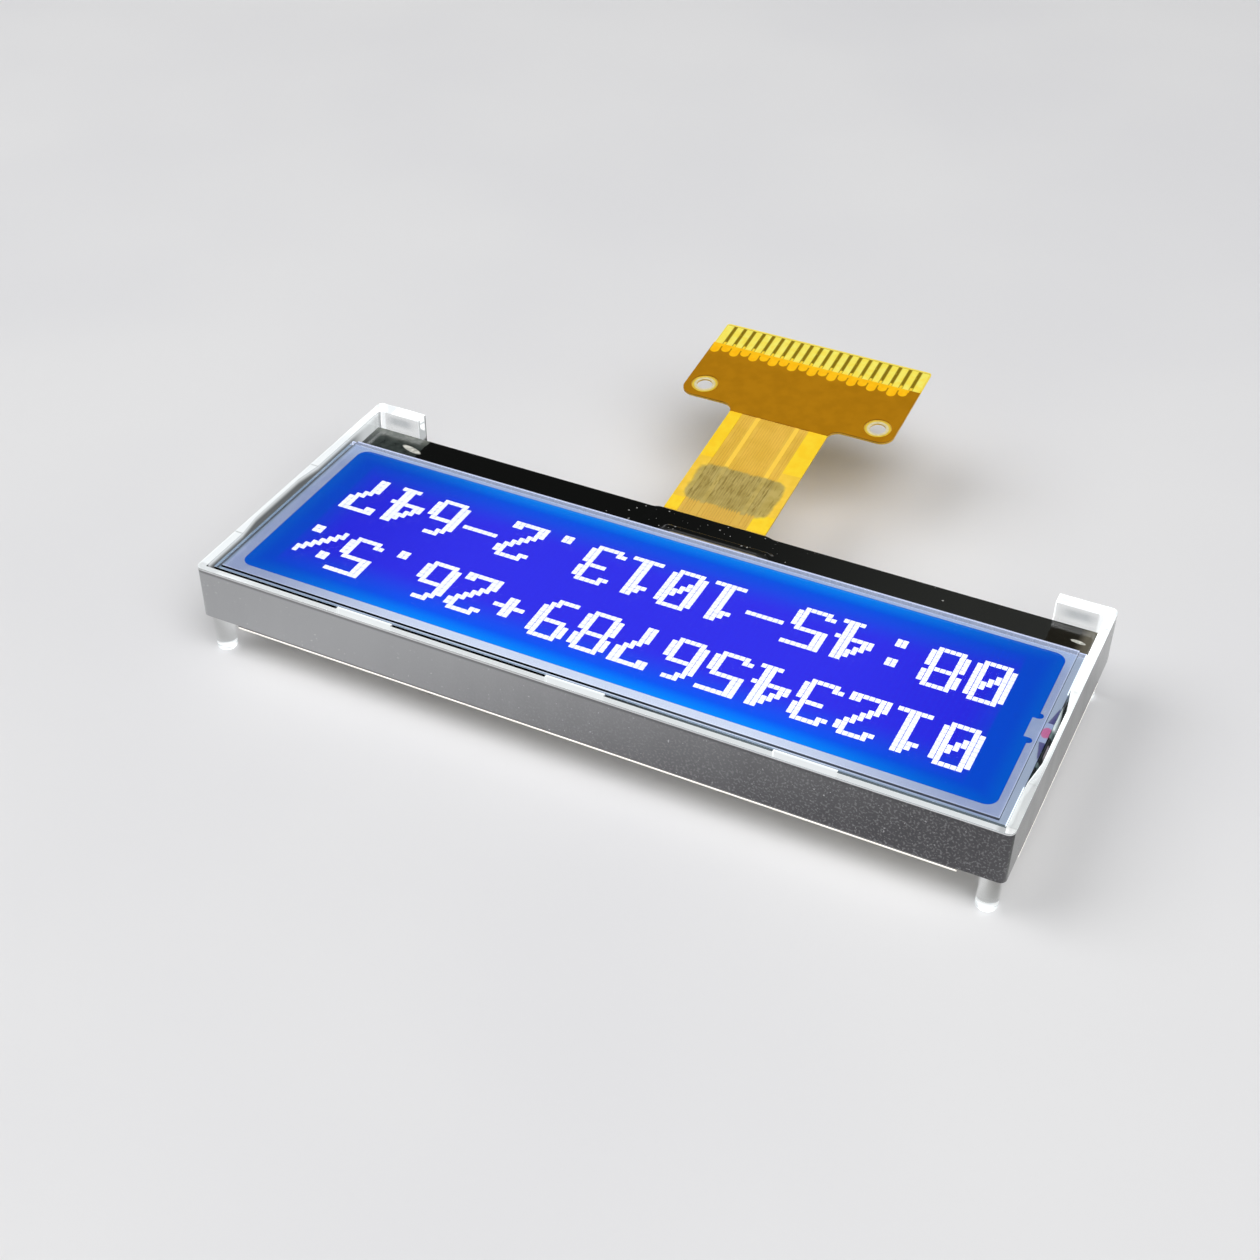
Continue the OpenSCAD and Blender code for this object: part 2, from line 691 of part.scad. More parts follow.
light_guide();
reflector_film();
led_board();
led_packages();
led_windows();
backlight_leads();
led_tape();
diffuser_film();
adhesive_strips();
rear_polariser();
rear_glass();
perimeter_seal();
liquid_crystal();
lit_dots();
end_seal();
front_glass();
front_polariser();
driver_die();
bond_films();
ledge_cover();
tail_film();
tail_traces();
tail_contacts();
tail_cover();
hole_rings();
neck_pad();
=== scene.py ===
import math

import bmesh
import bpy
from mathutils import Matrix, Vector


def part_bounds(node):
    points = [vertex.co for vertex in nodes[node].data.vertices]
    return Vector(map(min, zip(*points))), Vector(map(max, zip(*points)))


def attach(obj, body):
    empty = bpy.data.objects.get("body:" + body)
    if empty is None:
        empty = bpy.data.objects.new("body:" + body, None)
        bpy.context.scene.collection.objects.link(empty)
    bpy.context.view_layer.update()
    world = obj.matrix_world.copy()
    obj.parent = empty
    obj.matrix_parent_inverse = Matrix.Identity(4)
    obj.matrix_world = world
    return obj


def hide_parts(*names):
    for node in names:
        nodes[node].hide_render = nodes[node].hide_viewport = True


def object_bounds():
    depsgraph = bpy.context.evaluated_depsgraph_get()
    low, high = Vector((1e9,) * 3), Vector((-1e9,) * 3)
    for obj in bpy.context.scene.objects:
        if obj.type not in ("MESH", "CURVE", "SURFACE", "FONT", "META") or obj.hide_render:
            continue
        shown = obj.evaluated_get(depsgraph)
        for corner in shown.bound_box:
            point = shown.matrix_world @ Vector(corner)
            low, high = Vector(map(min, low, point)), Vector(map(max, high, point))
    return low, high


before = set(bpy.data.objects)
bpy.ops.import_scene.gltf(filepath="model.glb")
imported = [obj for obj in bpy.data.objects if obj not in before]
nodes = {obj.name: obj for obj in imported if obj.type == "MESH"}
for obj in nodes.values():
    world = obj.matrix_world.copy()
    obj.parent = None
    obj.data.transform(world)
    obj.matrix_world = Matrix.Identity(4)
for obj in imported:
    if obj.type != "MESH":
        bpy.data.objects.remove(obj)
cad_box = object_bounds()
scene = bpy.context.scene
scene.view_settings.view_transform = "Standard"

# Studio: a plain pale floor under the legs, two soft boxes overhead and a dim room with a pale horizon.
# The camera looks from beyond the upper edge of the display, so its characters stand upside down.
MM = 0.001
floor_size = 6.0
floor_fade_span = (200.0, 1400.0)
no_light = (0, 0, 0, 1)
room_grey = 0.03
horizon_low = math.sin(math.radians(5))
horizon_high = math.sin(math.radians(11))
camera_place = Vector((-41.34, 88.82, 79.01)) * MM
camera_forward = Vector((0.3393, -0.7025, -0.6257))
camera_roll = math.radians(0.55)
camera_lens = 53.54
camera_sensor = 36.0


def paint(red, green, blue):
    """A colour as it is seen on a screen, 0 to 255, turned into the light that a shader works in."""
    def light(level):
        share = level / 255
        return share / 12.92 if share <= 0.04045 else ((share + 0.055) / 1.055) ** 2.4
    return (light(red), light(green), light(blue), 1.0)


class Wire:
    """A value in a finish's node tree. Sums, products and the larger of two, a | b, add Math nodes."""

    def __init__(self, finish, socket):
        self.finish = finish
        self.socket = socket

    def __add__(self, other):
        return self.finish.maths("ADD", self, other)

    def __radd__(self, other):
        return self.finish.maths("ADD", other, self)

    def __sub__(self, other):
        return self.finish.maths("SUBTRACT", self, other)

    def __rsub__(self, other):
        return self.finish.maths("SUBTRACT", other, self)

    def __mul__(self, other):
        return self.finish.maths("MULTIPLY", self, other)

    def __rmul__(self, other):
        return self.finish.maths("MULTIPLY", other, self)

    def __truediv__(self, other):
        return self.finish.maths("DIVIDE", self, other)

    def __or__(self, other):
        return self.finish.maths("MAXIMUM", self, other)

    def __abs__(self):
        return self.finish.maths("ABSOLUTE", self)


def plug(tree, socket, value):
    """Links a socket to a wire or to another socket, or sets it to a plain value."""
    source = value.socket if isinstance(value, Wire) else value
    if isinstance(source, bpy.types.NodeSocket):
        tree.links.new(source, socket)
    else:
        socket.default_value = source


def wired(tree, kind, settings=(), sockets=()):
    """A node of any tree, with its settings and its sockets' values or links."""
    node = tree.nodes.new(kind)
    for name, value in dict(settings).items():
        setattr(node, name, value)
    for name, value in dict(sockets).items():
        plug(tree, node.inputs[name], value)
    return node


class Finish:
    """A material of one Principled shader: constants on its sockets, and patterns wired to them."""

    def __init__(self, name, **constants):
        self.material = bpy.data.materials.new(name)
        self.material.use_nodes = True
        self.tree = self.material.node_tree
        self.shader = self.tree.nodes["Principled BSDF"]
        self.wear(**constants)
        point = self.node("ShaderNodeTexCoord", out="Object")
        self.point = self.node("ShaderNodeVectorMath", {"operation": "SCALE"}, {0: point, "Scale": 1 / MM})
        self.x, self.y, self.z = self.split(self.point)

    def wear(self, **sockets):
        """Sets or wires the shader's sockets, whose names are written with _ for each space."""
        names = {s.name.lower().replace(" ", "_"): s for s in self.shader.inputs if s.enabled}
        for name, value in sockets.items():
            plug(self.tree, names[name], value)

    def node(self, kind, settings=(), sockets=(), out=0):
        """Any node, given by its kind, settings and sockets, and one of its outputs as a wire."""
        return Wire(self, wired(self.tree, kind, settings, sockets).outputs[out])

    def maths(self, operation, *values):
        return self.node("ShaderNodeMath", {"operation": operation}, dict(enumerate(values)))

    def distance(self, across, along):
        """The straight distance between two points, from how far apart they lie in two directions."""
        return self.maths("SQRT", across * across + along * along)

    def split(self, vector):
        """The three numbers of a vector, in millimetres where it is a place."""
        parts = self.node("ShaderNodeSeparateXYZ", {}, {0: vector}).socket.node
        return [Wire(self, socket) for socket in parts.outputs]

    def facing(self):
        """The three parts of the direction that the surface faces."""
        return self.split(self.node("ShaderNodeTexCoord", out="Normal"))

    def step(self, value, low, high):
        """0 where the value is at low, 1 at high, smooth between. A span below is such a pair."""
        return self.node(
            "ShaderNodeMapRange", {"interpolation_type": "SMOOTHSTEP"}, {0: value, 1: low, 2: high}
        )

    def blend(self, share, first, second):
        """One colour turned into another by a share from 0 to 1."""
        return self.node(
            "ShaderNodeMix", {"data_type": "RGBA"}, {0: share, 6: first, 7: second}, out=2
        )

    def noise(self, size, detail=2.0, stretch=(1, 1, 1)):
        """Even cloudy noise from 0 to 1 whose lumps are about the given size in millimetres."""
        point = self.node("ShaderNodeMapping", {}, {"Vector": self.point, "Scale": stretch})
        return self.node(
            "ShaderNodeTexNoise", {}, {"Vector": point, "Scale": 1 / size, "Detail": detail}
        )

    def mottle(self, size, first, second, detail=2.0):
        """Two like colours that drift into each other over the given size in millimetres."""
        return self.blend(self.step(self.noise(size, detail), 0.3, 0.7), first, second)

    def relief(self, height, depth):
        """Wires a height from 0 to 1 into the surface as relief of the given depth in millimetres."""
        self.wear(normal=self.node("ShaderNodeBump", {}, {"Height": height, "Distance": depth * MM}))


def soft_box(name, place, size, power):
    """A square lamp that faces the module."""
    lamp = bpy.data.lights.new(name, "AREA")
    lamp.size = size
    lamp.energy = power
    box = bpy.data.objects.new(name, lamp)
    box.location = place
    box.rotation_euler = (-Vector(place)).to_track_quat("-Z", "Y").to_euler()
    scene.collection.objects.link(box)


def seen_rays(tree):
    """1 for the rays that show a background: those of the camera, of mirrors and of clear pieces."""
    path = wired(tree, "ShaderNodeLightPath")
    mirrored = wired(tree, "ShaderNodeMath", {"operation": "MAXIMUM"}, {
        0: path.outputs["Is Glossy Ray"], 1: path.outputs["Is Transmission Ray"],
    })
    return wired(tree, "ShaderNodeMath", {"operation": "MAXIMUM"}, {
        0: path.outputs["Is Camera Ray"], 1: mirrored.outputs[0],
    }).outputs[0]


horizon_tone = paint(214, 214, 216)
ground = Finish("pale_floor", roughness=0.8, specular_ior_level=0.0, emission_strength=1.0)
from_middle = ground.distance(ground.x, ground.y)
far_floor = ground.step(from_middle, *floor_fade_span) * Wire(ground, seen_rays(ground.tree))
ground.wear(
    base_color=ground.mottle(40.0, paint(226, 226, 228), paint(230, 230, 231)),
    emission_color=ground.blend(far_floor, no_light, horizon_tone),
)
floor_mesh = bpy.data.meshes.new("floor")
half_floor = floor_size / 2
floor_mesh.from_pydata(
    [(sx * half_floor, sy * half_floor, cad_box[0].z) for sx, sy in ((-1, -1), (1, -1), (1, 1), (-1, 1))],
    [], [(0, 1, 2, 3)],
)
floor_mesh.materials.append(ground.material)
floor = bpy.data.objects.new("floor", floor_mesh)
scene.collection.objects.link(floor)

room = bpy.data.worlds.new("room")
room.use_nodes = True
sky = room.node_tree
upward = wired(sky, "ShaderNodeSeparateXYZ", {}, {0: wired(sky, "ShaderNodeTexCoord").outputs["Generated"]})
low_down = wired(sky, "ShaderNodeMapRange", {"interpolation_type": "SMOOTHSTEP"}, {
    0: upward.outputs[2], 1: horizon_high, 2: horizon_low,
})
pale = wired(sky, "ShaderNodeMath", {"operation": "MULTIPLY"}, {0: low_down.outputs[0], 1: seen_rays(sky)})
room_tone = wired(sky, "ShaderNodeMix", {"data_type": "RGBA"}, {
    0: pale.outputs[0], 6: (room_grey, room_grey, room_grey, 1), 7: horizon_tone,
})
sky.links.new(room_tone.outputs[2], sky.nodes["Background"].inputs["Color"])
scene.world = room
soft_box("key_box", place=(-0.40, 0.35, 0.80), size=0.9, power=8.8)
soft_box("fill_box", place=(0.60, 0.25, 0.75), size=0.7, power=4.9)

camera = bpy.data.cameras.new("camera")
camera.lens = camera_lens
camera.sensor_width = camera_sensor
camera.clip_start = MM
view_turn = camera_forward.to_track_quat("-Z", "Y").to_matrix() @ Matrix.Rotation(camera_roll, 3, "Z")
eye = bpy.data.objects.new("camera", camera)
eye.matrix_world = Matrix.Translation(camera_place) @ view_turn.to_4x4()
scene.collection.objects.link(eye)
scene.camera = eye


# Clear frame: one acrylic moulding, plate, rim, tabs, hooks and legs together, polished in its mould.
# Silver foil wraps its outer sides, and lamp light leaves it at the tops of its walls and its leg tips.
weld = 0.001 * MM
skin = 0.004 * MM
flat_angle = math.radians(0.5)
edge_angle = math.radians(40)
edge_steps = 2
thin_edge_share = 0.4
rim_chamfer = 0.06 * MM
rim_reach = 0.05
frame_corner = 0.45
relief_y = 2.4
relief_l = 9.2
hook_l = 3.95
hook_t = 1.0
hook_corner_span = (27.1, 27.25)
hook_light_span = (-6.0, -8.5)
pane_mid_x = 25.9
pane_mid_z = 3.4
pane_span_x = (1.6, 0.4)
pane_span_z = (0.62, 0.1)
near_wall_span = (10.8, 11.0)
side_gap_span = (27.3, 27.4)
dim_end_span = (-27.0, -27.4)
dim_side_span = (2.0, 8.0)
foil_end = -10.6
foil_top = 0.08
foil_lean = 2.3
# The foil's tones below are largely painted reflection, with a painted highlight along its top lip and a
# painted shadow line under it.
foil_ramp = (-21.0, 28.0)
reflected_grain_on_dull = 0.30
reflected_grain_on_bright = 0.08
end_reflected_grain = 0.5
speck_share = 0.5
lip_shadow_share = 0.5
smudge_share = 0.1
foil_bright = paint(180, 181, 182)
foil_dull = paint(79, 78, 81)
foil_end_reflection_tone = paint(86, 88, 87)
foil_highlight_and_speck_tone = paint(228, 229, 230)
clear_tint = (0.97, 0.985, 0.98, 1)
wall_shade_tone = (0.20, 0.29, 0.33, 1)
pane_shade_tone = (0.42, 0.45, 0.47, 1)
gap_shade_tone = (0.03, 0.05, 0.05, 1)
lamp_light = (0.94, 0.98, 1, 1)
top_glow = 0.95
near_top_loss = 0.17
relief_end_shade_loss = 0.35
dim_end_loss = 0.35
lip_glow = 0.3
wall_glow = 0.75
wall_fade = 0.62
hook_wall_gain = 0.4
hook_glow = 0.05
hook_end_glow = 0.4
hook_corner_glow = 0.25
tip_glow = 0.7


def add_piece(name, mesh, finish, slot, *stands_for):
    """A finished mesh as a piece of the module, in place of the solids that it stands for."""
    piece = bpy.data.objects.new(name, mesh)
    scene.collection.objects.link(piece)
    mesh.materials.clear()
    mesh.materials.append(finish.material)
    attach(piece, "root")
    if stands_for:
        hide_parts(*stands_for)
    return piece


def finished(draft):
    """The mesh that an object's modifiers make, with the object itself cleared away."""
    scene.collection.objects.link(draft)
    shown = draft.evaluated_get(bpy.context.evaluated_depsgraph_get())
    mesh = bpy.data.meshes.new_from_object(shown)
    bpy.data.objects.remove(draft)
    return mesh


def rounded(name, shape, edge, bold=None):
    """A bmesh with small rounded edges. Where bold is true of an edge's middle, it gets the full width."""
    weight = shape.edges.layers.float.new("bevel_weight_edge")
    for line in shape.edges:
        if line.is_manifold and line.calc_face_angle() > edge_angle:
            middle = (line.verts[0].co + line.verts[1].co) / (2 * MM)
            line[weight] = thin_edge_share if bold and not bold(middle) else 1.0
    for face in shape.faces:
        face.smooth = True
    mesh = bpy.data.meshes.new(name)
    shape.to_mesh(mesh)
    shape.free()
    draft = bpy.data.objects.new(name, mesh)
    bevel = draft.modifiers.new("edges", "BEVEL")
    bevel.width = edge
    bevel.segments = edge_steps
    bevel.limit_method = "WEIGHT"
    draft.modifiers.new("flat_faces", "WEIGHTED_NORMAL").keep_sharp = True
    return finished(draft)


def softened(node, finish, slot, edge, bold=None):
    """A copy of a solid with small rounded edges and a hair of air around it."""
    shape = bmesh.new()
    shape.from_mesh(nodes[node].data)
    bmesh.ops.remove_doubles(shape, verts=shape.verts, dist=weld)
    bmesh.ops.dissolve_limit(shape, angle_limit=flat_angle, verts=shape.verts, edges=shape.edges)
    shape.normal_update()
    for vert in shape.verts:
        vert.co -= vert.normal * skin
    return add_piece(node + "_piece", rounded(node, shape, edge, bold), finish, slot, node)


def keep(node, finish):
    """A solid whose own shape is right takes the finish as it is."""
    nodes[node].data.materials.clear()
    nodes[node].data.materials.append(finish.material)


def part_box(node):
    """A solid's lowest and highest corners, in millimetres."""
    low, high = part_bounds(node)
    return low / MM, high / MM


plate_top = part_box("diffuser_film")[0].z
guide_lo, guide_hi = part_box("light_guide")
acrylic = Finish("clear_acrylic", ior=1.49, transmission_weight=1.0, emission_strength=1.0)
out_x = abs(acrylic.x) - (guide_hi.x - frame_corner)
out_y = abs(acrylic.y) - (guide_hi.y - frame_corner)
outline = (
    acrylic.distance(out_x | 0.0, out_y | 0.0)
    + acrylic.maths("MINIMUM", out_x | out_y, 0.0)
    - frame_corner
)
depth = guide_hi.z - acrylic.z
near_wall = acrylic.step(acrylic.y, *near_wall_span)
past_cell = acrylic.step(abs(acrylic.x), *side_gap_span)

foil = (
    acrylic.step(outline, -0.05, -0.02)
    * acrylic.step(acrylic.y, foil_end, foil_end + 0.05)
    * acrylic.step(depth, foil_top - 0.01, foil_top + 0.01)
)
# Painted reflection on the foil: dull to bright along the face, a fine grain that stands for the reflected
# floor, and darker short ends. Its smudges and specks are its own.
smudge = acrylic.noise(1.6, 3.0, (1.0, 1.0, 0.25))
reflected_grain = acrylic.step(acrylic.noise(0.16, 1.0), 0.5, 0.7)
specks = acrylic.step(acrylic.noise(0.2, 1.0), 0.72, 0.8)
foil_reflection_share = acrylic.step(acrylic.x + acrylic.z * foil_lean, *foil_ramp)
short_side = acrylic.step(abs(acrylic.x), guide_hi.x - 0.12, guide_hi.x - 0.06)
reflected_grain_share = reflected_grain_on_dull - (reflected_grain_on_dull - reflected_grain_on_bright) * foil_reflection_share
reflected_grain_share = reflected_grain * reflected_grain_share * (1 - end_reflected_grain * short_side)
# A painted shadow line just under the foil's top edge, and a painted highlight along that edge.
foil_lip_shadow = (
    acrylic.step(depth, foil_top + 0.08, foil_top + 0.12)
    * acrylic.step(depth, foil_top + 0.34, foil_top + 0.2)
)
foil_lip_highlight = acrylic.step(depth, foil_top + 0.10, foil_top + 0.06)
bright_share = foil_reflection_share * (1 - smudge_share) + smudge * smudge_share
foil_tone = acrylic.blend(bright_share, foil_dull, foil_bright)
foil_tone = acrylic.blend(short_side, foil_tone, foil_end_reflection_tone)
foil_tone = acrylic.blend(reflected_grain_share, foil_tone, foil_bright)
foil_tone = acrylic.blend(specks * speck_share, foil_tone, foil_highlight_and_speck_tone)
foil_tone = acrylic.blend(foil_lip_shadow * lip_shadow_share, foil_tone, foil_dull)
foil_tone = acrylic.blend(foil_lip_highlight, foil_tone, foil_highlight_and_speck_tone)

hook_y = guide_lo.y + hook_t
hook_x = guide_hi.x - hook_l
hook = acrylic.step(acrylic.y, hook_y + 0.35, hook_y + 0.05)
hook_end = acrylic.step(abs(abs(acrylic.x) - hook_x), 0.04, 0.02)
hook_corner = acrylic.step(abs(acrylic.x), *hook_corner_span)
# A darker patch on the inner face of each hook is painted shade.
hook_pane_shade = (
    acrylic.step(abs(acrylic.y - hook_y), 0.04, 0.02)
    * acrylic.step(abs(abs(acrylic.x) - pane_mid_x), *pane_span_x)
    * acrylic.step(abs(acrylic.z - pane_mid_z), *pane_span_z)
)
# The glow is painted light, emission set by place, standing for the backlight leaving the plate: on the wall
# tops, lips and inner faces, the hooks and the leg tips. Brighter hook ends and corners are painted
# highlights, and the darker lines across the tops at the relief's ends are painted shade.
by_hook = acrylic.step(acrylic.y, *hook_light_span)
relief_end_shade = (
    acrylic.step(abs(abs(acrylic.y - relief_y) - relief_l / 2), 0.07, 0.03)
    * past_cell
    * (1 - near_wall)
)
dim_end = acrylic.step(acrylic.x, *dim_end_span) * acrylic.step(acrylic.y, *dim_side_span)
wall_top = (top_glow - near_top_loss * near_wall) * (1 - relief_end_shade_loss * relief_end_shade) * (1 - dim_end_loss * dim_end)
top_share = acrylic.step(depth, 0.03, 0.01) * wall_top
lip_share = acrylic.step(depth, 0.01, 0.03) * acrylic.step(depth, foil_top + 0.02, foil_top) * lip_glow
inner_share = wall_glow - (wall_fade - hook_wall_gain * by_hook) * acrylic.step(depth, 0.03, 0.5)
hook_share = hook_glow + hook_end_glow * hook_end + hook_corner_glow * hook_corner
face_share = (
    acrylic.step(depth, 0.02, 0.06)
    * acrylic.step(acrylic.z, plate_top + 0.05, plate_top + 0.4)
    * (1 - near_wall)
    * (hook * hook_share + (1 - hook) * inner_share)
)
tip_share = acrylic.step(acrylic.z, guide_lo.z + 0.32, guide_lo.z + 0.1) * tip_glow
on_lip = acrylic.step(outline, -0.10, -0.07)
wall_share = (1 - foil) * (on_lip * lip_share + (1 - on_lip) * face_share)
glow = top_share | wall_share | tip_share

# Painted shade in the clear plastic: darker teal deep on the side walls' inner faces, a darker patch on each
# hook, and near black on the plate in the gaps past the cell's ends.
above_plate = acrylic.step(acrylic.z, plate_top, plate_top + 0.1)
side_wall = acrylic.step(outline, -0.7, -0.62) * (1 - near_wall) * (1 - hook) * above_plate
wall_shade = side_wall * (1 - by_hook) * acrylic.step(depth, 0.05, 0.4)
gap_shade = past_cell * acrylic.step(abs(acrylic.z - plate_top), 0.12, 0.05)
clear_and_shade_tone = acrylic.blend(wall_shade, clear_tint, wall_shade_tone)
clear_and_shade_tone = acrylic.blend(hook_pane_shade, clear_and_shade_tone, pane_shade_tone)
clear_and_shade_tone = acrylic.blend(gap_shade, clear_and_shade_tone, gap_shade_tone)
acrylic.wear(
    base_color=acrylic.blend(foil, clear_and_shade_tone, foil_tone),
    metallic=foil,
    roughness=acrylic.noise(3.0) * 0.05 + foil * (0.08 + smudge * 0.12),
    emission_color=acrylic.blend(glow, no_light, lamp_light),
)


def outer_rim(middle):
    """True of the outer top edges of the rim, which have the full chamfer."""
    outside = abs(middle.x) > guide_hi.x - rim_reach or middle.y > guide_hi.y - rim_reach
    return outside and middle.z > guide_hi.z - rim_reach


softened("light_guide", acrylic, "clear_acrylic", rim_chamfer, bold=outer_rim)


# Reflector film: white film laid under the plate, cut clear of the legs.
# It turns lamp light back up into the plate, so its upper side and its edge are bright.
lit_line = 0.13
foil_lap_tone = paint(120, 120, 120)
dim_line = (0.55, 0.53, 0.50, 1)
bright_line = (1, 0.98, 0.95, 1)
reflector_z = part_box("reflector_film")[0].z
white_film = Finish("white_film", roughness=0.55, emission_strength=0.9)
past_end = abs(white_film.x) - guide_hi.x
past_side = abs(white_film.y) - guide_hi.y
# The line along its cut edge, below the foil, is painted glow, brighter on the short ends.
on_edge = white_film.step(past_end | past_side, -0.03, -0.01)
line_tone = white_film.blend(white_film.step(past_end, -0.03, -0.01), dim_line, bright_line)
below_foil = white_film.step(white_film.z, reflector_z + lit_line + 0.01, reflector_z + lit_line - 0.01)
film_tone = white_film.mottle(0.4, paint(238, 234, 224), paint(248, 246, 240))
white_film.wear(
    base_color=white_film.blend(on_edge * (1 - below_foil), film_tone, foil_lap_tone),
    emission_color=white_film.blend(on_edge * below_foil, no_light, line_tone),
)
keep("reflector_film", white_film)


# Lamps: a slim white board in the pocket of the plate with side-firing lamps that light the plate's edge,
# two tinned leads up to the tail, and a shield tape over the pocket. Each lamp has a terminal at each end.
terminal_l = 0.3
terminal_proud = 0.06
terminal_deep = 0.5
terminal_low = 0.005
terminal_high = 0.45
terminal_edge = 0.04 * MM
strip_edge = 0.03 * MM
lamp_edge = 0.05 * MM


def block(shape, low, high):
    """A box between two corners in millimetres, added to a bmesh."""
    corners = bmesh.ops.create_cube(shape, size=1.0)["verts"]
    for vert in corners:
        vert.co = Vector([(lo + (c + 0.5) * (hi - lo)) * MM for c, lo, hi in zip(vert.co, low, high)])


def two_tone(name, roughness, size, first, second):
    """A plain finish of two like colours that drift into each other over the given size."""
    finish = Finish(name, roughness=roughness)
    finish.wear(base_color=finish.mottle(size, first, second))
    return finish


solder_mask = two_tone("solder_mask", 0.4, 0.5, paint(230, 230, 224), paint(242, 242, 238))
softened("led_board", solder_mask, "lamp_board", strip_edge)
lamp_plastic = two_tone("lamp_plastic", 0.45, 0.3, paint(238, 238, 234), paint(248, 248, 246))
softened("led_packages", lamp_plastic, "lamp_body", lamp_edge)
phosphor = Finish("phosphor", roughness=0.4, emission_strength=1.5)
phosphor.wear(
    base_color=phosphor.mottle(0.1, paint(250, 222, 110), paint(252, 236, 150)),
    emission_color=phosphor.mottle(0.1, paint(255, 250, 235), paint(255, 255, 248)),
)
keep("led_windows", phosphor)
tinned = Finish("tinned_strip", metallic=1.0)
tinned.wear(
    base_color=tinned.mottle(0.3, paint(205, 205, 208), paint(222, 222, 224)),
    roughness=0.25 + tinned.noise(0.15) * 0.2,
)
softened("backlight_leads", tinned, "tinned_metal", strip_edge)
lamps_lo = part_box("led_packages")[0]
lamp_spots = sorted({round(v.co.x / MM, 3) for v in nodes["led_packages"].data.vertices})
terminals = bmesh.new()
for end, inward in zip(lamp_spots, (1, -1) * (len(lamp_spots) // 2)):
    reach = sorted((end - inward * terminal_proud, end + inward * terminal_l))
    block(terminals, (reach[0], lamps_lo.y - terminal_proud, lamps_lo.z + terminal_low),
          (reach[1], lamps_lo.y + terminal_deep, lamps_lo.z + terminal_high))
add_piece("lamp_terminals", rounded("lamp_terminals", terminals, terminal_edge), tinned, "tinned_metal")
keep("led_tape", two_tone("black_tape", 0.4, 0.3, paint(22, 22, 23), paint(30, 30, 31)))


# Diffuser and strips: a matt white film on the plate spreads the light under the cell,
# and two strips of double-sided tape beside it hold the cell down.
keep("diffuser_film", white_film)
keep("adhesive_strips", two_tone("strip_glue", 0.6, 0.3, paint(190, 196, 196), paint(206, 210, 208)))


# Glass cell: two soda-lime plates cut with a scribe, the lower one longer so that it makes the ledge.
# Their faces are clear and their cut edges are dark green and faintly ribbed.
glass_edge = 0.03 * MM
near_glow_span = (2.0, -12.0)
coated = (0.12, 0.12, 0.12, 1)
clear_glass = (0.97, 0.99, 0.98, 1)
cut_dark = (0.03, 0.08, 0.10, 1)
cut_light = (0.25, 0.40, 0.42, 1)
shut_edge = (0.01, 0.01, 0.01, 1)
ledge_y = part_box("rear_glass")[0].y
cell_lo, cell_hi = part_box("front_glass")
glass = Finish(
    "cell_glass", ior=1.52, transmission_weight=1.0, specular_tint=coated, emission_strength=1.0
)
glass_facing = glass.facing()
cut_face = glass.step(1 - abs(glass_facing[2]), 0.3, 0.9)
long_face = glass.step(abs(glass_facing[1]), 0.5, 0.8)
ribs = glass.noise(0.12, 1.0, (1.0, 1.0, 0.15))
cut_tone = glass.blend(ribs, cut_dark, cut_light)
# The far and near long faces are made black and carry painted glow: lavender stripes on the far face, dim
# grey on the near face.
far_glow_tone = glass.blend(ribs, paint(138, 150, 180), paint(180, 188, 210))
far_face = (
    glass.step(abs(glass.y - cell_lo.y), 0.14, 0.11)
    * glass.step(glass.z, cell_lo.z - 0.03, cell_lo.z - 0.01)
)
near_face = glass.step(glass.y, cell_hi.y - 0.08, cell_hi.y - 0.05)
shut_face = long_face * (far_face | near_face)
near_glow = long_face * near_face * glass.step(glass.x, *near_glow_span)
# A painted highlight along the ledge's far edge.
ledge_highlight = (
    glass.step(glass.y, ledge_y + 0.10, ledge_y + 0.06)
    * glass.step(glass.z, cell_lo.z - 0.15, cell_lo.z - 0.1)
)
# A painted reflection of the wall along the top edge of the -X end, outside the relief where the wall stands
# close.
wall_reflection = (
    glass.step(glass.x, cell_lo.x + 0.10, cell_lo.x + 0.06)
    * glass.step(glass.z, cell_hi.z - 0.10, cell_hi.z - 0.06)
    * glass.step(abs(glass.y - relief_y), relief_l / 2 - 0.1, relief_l / 2 + 0.1)
)
edge_glow = glass.blend(far_face, no_light, far_glow_tone)
edge_glow = glass.blend(ledge_highlight, edge_glow, paint(124, 125, 122))
edge_glow = glass.blend(near_glow, edge_glow, paint(98, 110, 116))
edge_glow = glass.blend(wall_reflection, edge_glow, paint(236, 244, 246))
glass_tone = glass.blend(cut_face, clear_glass, cut_tone)
glass.wear(
    base_color=glass.blend(shut_face, glass_tone, shut_edge),
    roughness=cut_face * 0.15,
    metallic=shut_face,
    emission_color=edge_glow,
)
keep("rear_polariser", two_tone("rear_polariser", 0.3, 0.5, paint(60, 72, 96), paint(72, 84, 108)))
softened("rear_glass", glass, "glass", glass_edge)
softened("front_glass", glass, "glass", glass_edge)


# Perimeter seal: a grey bead of glue printed round the field between the glasses, with spacer grains in it.
# The backlight shines through it, which gives it its lavender cast, and its outer rim stays dim.
port_y = 1.4
port_w = 1.9
port_shade_span = (1.7, 1.4)
lit_side_span = (2.0, 9.4)
lit_middle_span = (27.0, 10.0)
far_run_span = (-4.0, -6.0)
glue_grey = (0.1, 0.1, 0.12, 1)
film_lo, film_hi = part_box("front_polariser")
dim_x = film_hi.x
dim_y = film_hi.y
glue = Finish("seal_glue", roughness=0.6, emission_strength=0.96)
seal_lit = glue.step(glue.y, *lit_side_span) * glue.step(abs(glue.x), *lit_middle_span)
seal_far = glue.step(glue.y, *far_run_span)
seal_tone = glue.mottle(0.8, paint(146, 160, 200), paint(156, 168, 202), 4.0)
seal_tone = glue.blend(seal_lit, seal_tone, paint(222, 232, 254))
seal_tone = glue.blend(seal_far, seal_tone, paint(166, 184, 220))
